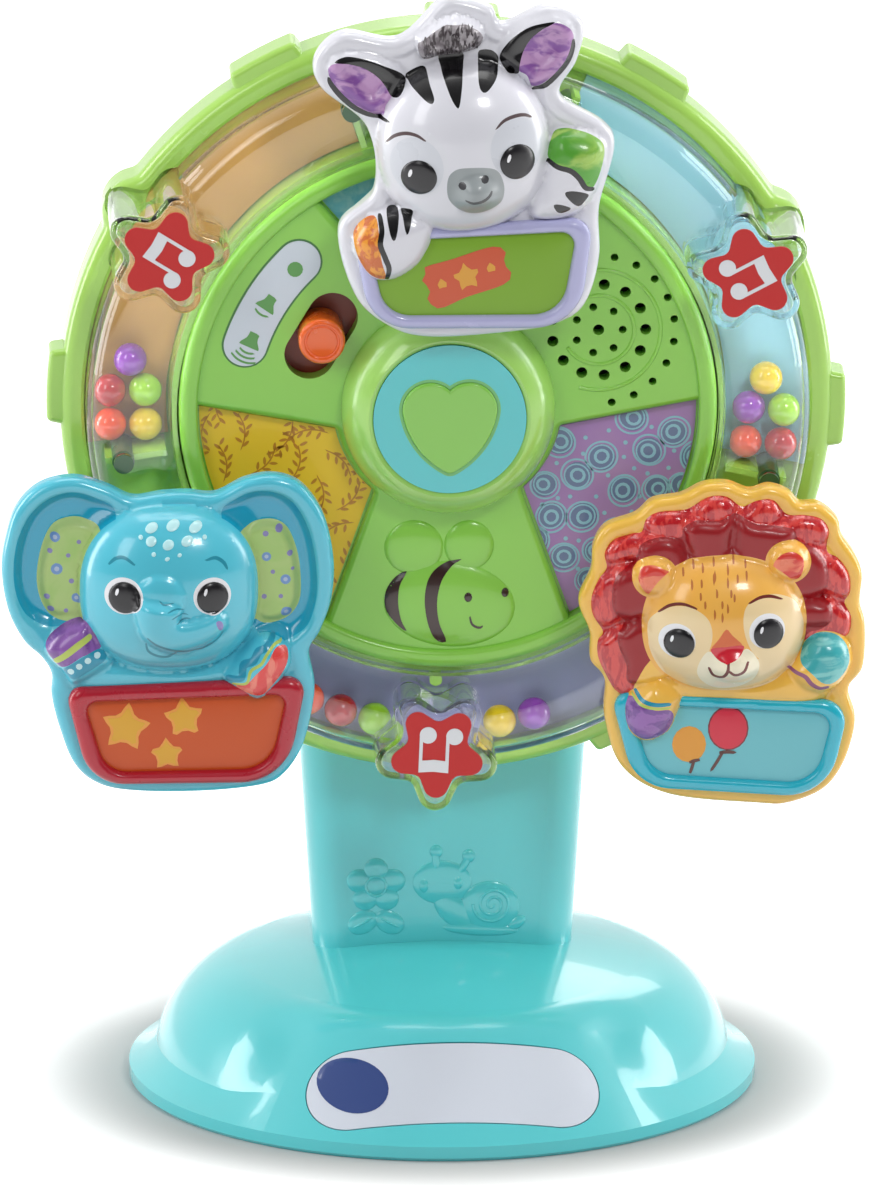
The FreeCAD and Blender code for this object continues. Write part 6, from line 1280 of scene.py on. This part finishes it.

# painted shade: the groove round the volume label is not modelled, and a dark green ring is drawn in its place
labelArc = {"colour": (46, 112, 40), "radius": 54.0, "half": 5.45, "angles": (134.2, 161.5), "inner": 0.05,
            "outer": 0.55, "level": 35.4}


def labelLoop(data, grow):
    radius, half = data["radius"], data["half"]
    start, end = data["angles"]
    loop = []
    for side, first, last in ((1, start, end), (-1, end, start)):
        loop += [polar(radius + side * (half + grow), angle) for angle in np.radians(np.linspace(first, last, 16))]
        cap = math.radians(last)
        turn = cap if side > 0 else cap + math.pi
        loop += [polar(radius, cap) + polar(half + grow, turn + math.pi * step / 12) for step in range(1, 12)]
    return np.array(loop)


def dressGrooveShade(data):
    onPod("labelGrooveShade", [labelLoop(data, data["outer"])], lambda points: np.full(len(points), data["level"]),
          paint("grooveShadeGreen", data["colour"], roughness=0.35), lift=0.04, spacing=0.7, skirt=0.2,
          holes={0: [labelLoop(data, data["inner"])]})


dressGrooveShade(labelArc)
print("label's groove drawn")


beadPlaces = {  # radius and degrees round the wheel's axle, and colour
    "beads_left": [
        (85.35, 183.35, "orange"), (85.35, 177.4, "red"), (76.35, 183.8, "yellow"), (76.35, 177.1, "lime"),
        (80.85, 171.6, "purple")],
    "beads_right": [
        (85.35, 351.85, "red"), (85.35, 357.8, "lime"), (76.35, 351.4, "orange"), (76.35, 358.1, "purple"),
        (80.85, 363.6, "yellow")],
    "beads_bottom_left": [(85.35, 257.6, "lime"), (85.35, 251.6, "red"), (85.35, 245.6, "orange")],
    "beads_bottom_right": [(85.35, 279.0, "yellow"), (85.35, 285.0, "purple")],
}
beadColours = {"purple": (138, 50, 172), "red": (182, 14, 30), "lime": (156, 206, 40), "orange": (240, 72, 18),
               "yellow": (236, 196, 24)}


def colourNear(mesh, places, choose):
    centres = np.array([polar(radius, math.radians(angle)) for radius, angle in places]) + (0, axisHeight)
    for polygon in mesh.polygons:
        gaps = np.linalg.norm(centres - (polygon.center.x / mm, polygon.center.z / mm), axis=1)
        polygon.material_index = choose(int(gaps.argmin()), gaps.min())


def colourBeads():
    order = list(beadColours)
    made = [paint("bead" + key.capitalize(), beadColours[key], roughness=0.1, coat=0.9, drift=0.15) for key in order]
    for nodeName, beads in beadPlaces.items():
        mesh = nodes[nodeName].data
        mesh.materials.clear()
        for material in made:
            mesh.materials.append(material)
        colourNear(mesh, [bead[:2] for bead in beads], lambda nearest, gap: order.index(beads[nearest][2]))


colourBeads()
print("beads coloured")

postPlaces = {"radius": 83.0, "spread": 19.5, "reach": 3.2}  # two posts beside each gondola's place


# the rim's faces round the posts take the dark post green: painted shade of the deep recess there
def shadeRoundPosts(data):
    mesh = nodes["wheel_rim"].data
    mesh.materials.append(paints["postShadeGreen"])
    places = [(data["radius"], 90 + wheelTurn + 120 * k + side * data["spread"])
              for k in range(3) for side in (-1, 1)]
    colourNear(mesh, places, lambda nearest, gap: 1 if gap < data["reach"] else 0)


shadeRoundPosts(postPlaces)
print("posts coloured")

badge = {"centre": (-25.4, 16.0), "halfWidth": 9.0, "halfHeight": 5.7, "colour": (34, 62, 128)}


def dressLabel(data):
    surface, origin = castOn("label_plate", fallback=70), (0, 0)
    film("labelBadge", [ellipseLoop(data["centre"], data["halfWidth"], data["halfHeight"], 0, 48)],
         lambda points: surface(points, origin), origin,
         paint("labelBlue", data["colour"], roughness=0.3, coat=0.4), "stand", lift=0.1, spacing=1.2, skirt=0.2)


dressLabel(badge)
print("label dressed")

view = {"azimuth": -2.47, "elevation": 15.8, "distance": 8.0, "pxPerMm": 3.937, "target": (-1.65, 0.0, 126.45)}
lamps = {  # place in m, size in m, watts
    "keyLamp": ((0.5, -1.3, 1.3), (0.3, 0.3), 6.3),
    "frontBox": ((-0.95, -1.1, 1.0), (0.4, 0.8), 4.0),
    "leftStrip": ((-1.25, 0.1, 0.5), (0.4, 1.1), 9.0),
    "rightStrip": ((1.25, 0.1, 0.5), (0.4, 1.1), 9.0),
    "topLamp": ((0.0, 0.1, 1.5), (0.9, 0.6), 5.0),
    "rearLamp": ((0.3, 1.2, 0.9), (0.8, 0.5), 3.0),
}
floor = {"side": 9.0, "whiteFrom": 0.08, "whiteTo": 0.125}  # all in m; further out it is plain white


def anyRay(tree, y, *kinds):
    path = addNode(tree, "LightPath", -500, y)
    seen = path.outputs[f"Is {kinds[0]} Ray"]
    for k, kind in enumerate(kinds[1:]):
        seen = addNode(tree, "Math", -300 + 200 * k, y, {0: seen, 1: path.outputs[f"Is {kind} Ray"]},
                       operation="MAXIMUM").outputs[0]
    return seen, path


def inScene(name, data):
    obj = bpy.data.objects.new(name, data)
    bpy.context.scene.collection.objects.link(obj)
    return obj


def setCamera(data):
    turn, tilt = math.radians(data["azimuth"]), math.radians(data["elevation"])
    back = Vector((math.sin(turn) * math.cos(tilt), -math.cos(turn) * math.cos(tilt), math.sin(tilt)))
    camera = inScene("camera", bpy.data.cameras.new("camera"))
    camera.location = Vector(data["target"]) * mm + back * data["distance"]
    camera.rotation_euler = (-back).to_track_quat("-Z", "Y").to_euler()
    photoHeight, sensorWidth = 1190, 36
    camera.data.sensor_width = sensorWidth
    camera.data.lens = data["pxPerMm"] * data["distance"] / mm / photoHeight * sensorWidth
    camera.data.clip_start, camera.data.clip_end = 0.1, 50
    bpy.context.scene.camera = camera


def layFloor(data):
    material, tree, shader, output = newMaterial("floorPale")
    dust = addNode(tree, "TexNoise", -500, 0, {"Scale": 3})
    ramp = addNode(tree, "MapRange", -300, 0, {"To Min": 0.55, "To Max": 0.57, "Value": dust.outputs["Fac"]})
    setInputs(tree, shader, {"Base Color": ramp.outputs["Result"], "Roughness": 0.9, "Specular IOR Level": 0.1})
    place = addNode(tree, "TexCoord", -900, -300)
    away = addNode(tree, "VectorMath", -700, -300, {0: place.outputs["Object"]}, operation="LENGTH")
    reach = addNode(tree, "MapRange", -500, -300,
                    {"From Min": data["whiteFrom"], "From Max": data["whiteTo"], "Value": away.outputs["Value"]},
                    interpolation_type="SMOOTHSTEP")
    glow = addNode(tree, "Emission", -100, -300, {"Strength": reach.outputs["Result"]})
    both = addNode(tree, "AddShader", 200, -100, {0: shader.outputs["BSDF"], 1: glow.outputs["Emission"]})
    shown, path = anyRay(tree, 400, "Camera", "Transmission", "Glossy")
    mixed = addNode(tree, "MixShader", 400, 0, {"Fac": shown, 1: shader.outputs["BSDF"], 2: both.outputs["Shader"]})
    setInputs(tree, output, {"Surface": mixed.outputs["Shader"]})
    mesh, side = bpy.data.meshes.new("floor"), data["side"]
    mesh.from_pydata([(-side, -side, 0), (side, -side, 0), (side, side, 0), (-side, side, 0)], [], [(0, 1, 2, 3)])
    mesh.materials.append(material)
    floorObject = inScene("floor", mesh)


def setWorld():
    world = bpy.data.worlds.new("studio")
    world.use_nodes = True
    bpy.context.scene.world = world
    tree = world.node_tree
    ambient = next(n for n in tree.nodes if n.type == "BACKGROUND")
    output = next(n for n in tree.nodes if n.type == "OUTPUT_WORLD")
    setInputs(tree, ambient, {"Color": (1, 1, 1, 1), "Strength": 0.42})
    place = addNode(tree, "TexCoord", -900, -400)
    parts = addNode(tree, "SeparateXYZ", -700, -400, {0: place.outputs["Generated"]})
    dim = addNode(tree, "MapRange", -500, -400,
                  {"From Min": -0.75, "From Max": 0.25, "To Min": 0.08, "Value": parts.outputs["Y"]},
                  interpolation_type="SMOOTHSTEP")  # what mirrors the room in front of the toy finds it dim
    white = addNode(tree, "Background", 0, -200, {"Color": (1, 1, 1, 1)})
    mirrored = addNode(tree, "Background", 0, -400, {"Color": (1, 1, 1, 1), "Strength": dim.outputs["Result"]})
    seen, path = anyRay(tree, 300, "Camera", "Transmission")
    mixed = addNode(tree, "MixShader", 200, 0, {"Fac": seen, 1: ambient.outputs[0], 2: white.outputs[0]})
    last = addNode(tree, "MixShader", 400, 0,
                   {"Fac": path.outputs["Is Glossy Ray"], 1: mixed.outputs[0], 2: mirrored.outputs[0]})
    setInputs(tree, output, {"Surface": last.outputs[0]})


def hangLamps(data):
    aim = Vector((0, -0.02, 0.15))
    for name, (place, size, power) in data.items():
        light = bpy.data.lights.new(name, "AREA")
        light.shape, light.energy = "RECTANGLE", power
        light.size, light.size_y = size
        lamp = inScene(name, light)
        lamp.location = place
        lamp.rotation_euler = (aim - Vector(place)).to_track_quat("-Z", "Y").to_euler()


setCamera(view)
layFloor(floor)
setWorld()
hangLamps(lamps)
bpy.context.scene.view_settings.view_transform = "Standard"
print("stage ready")
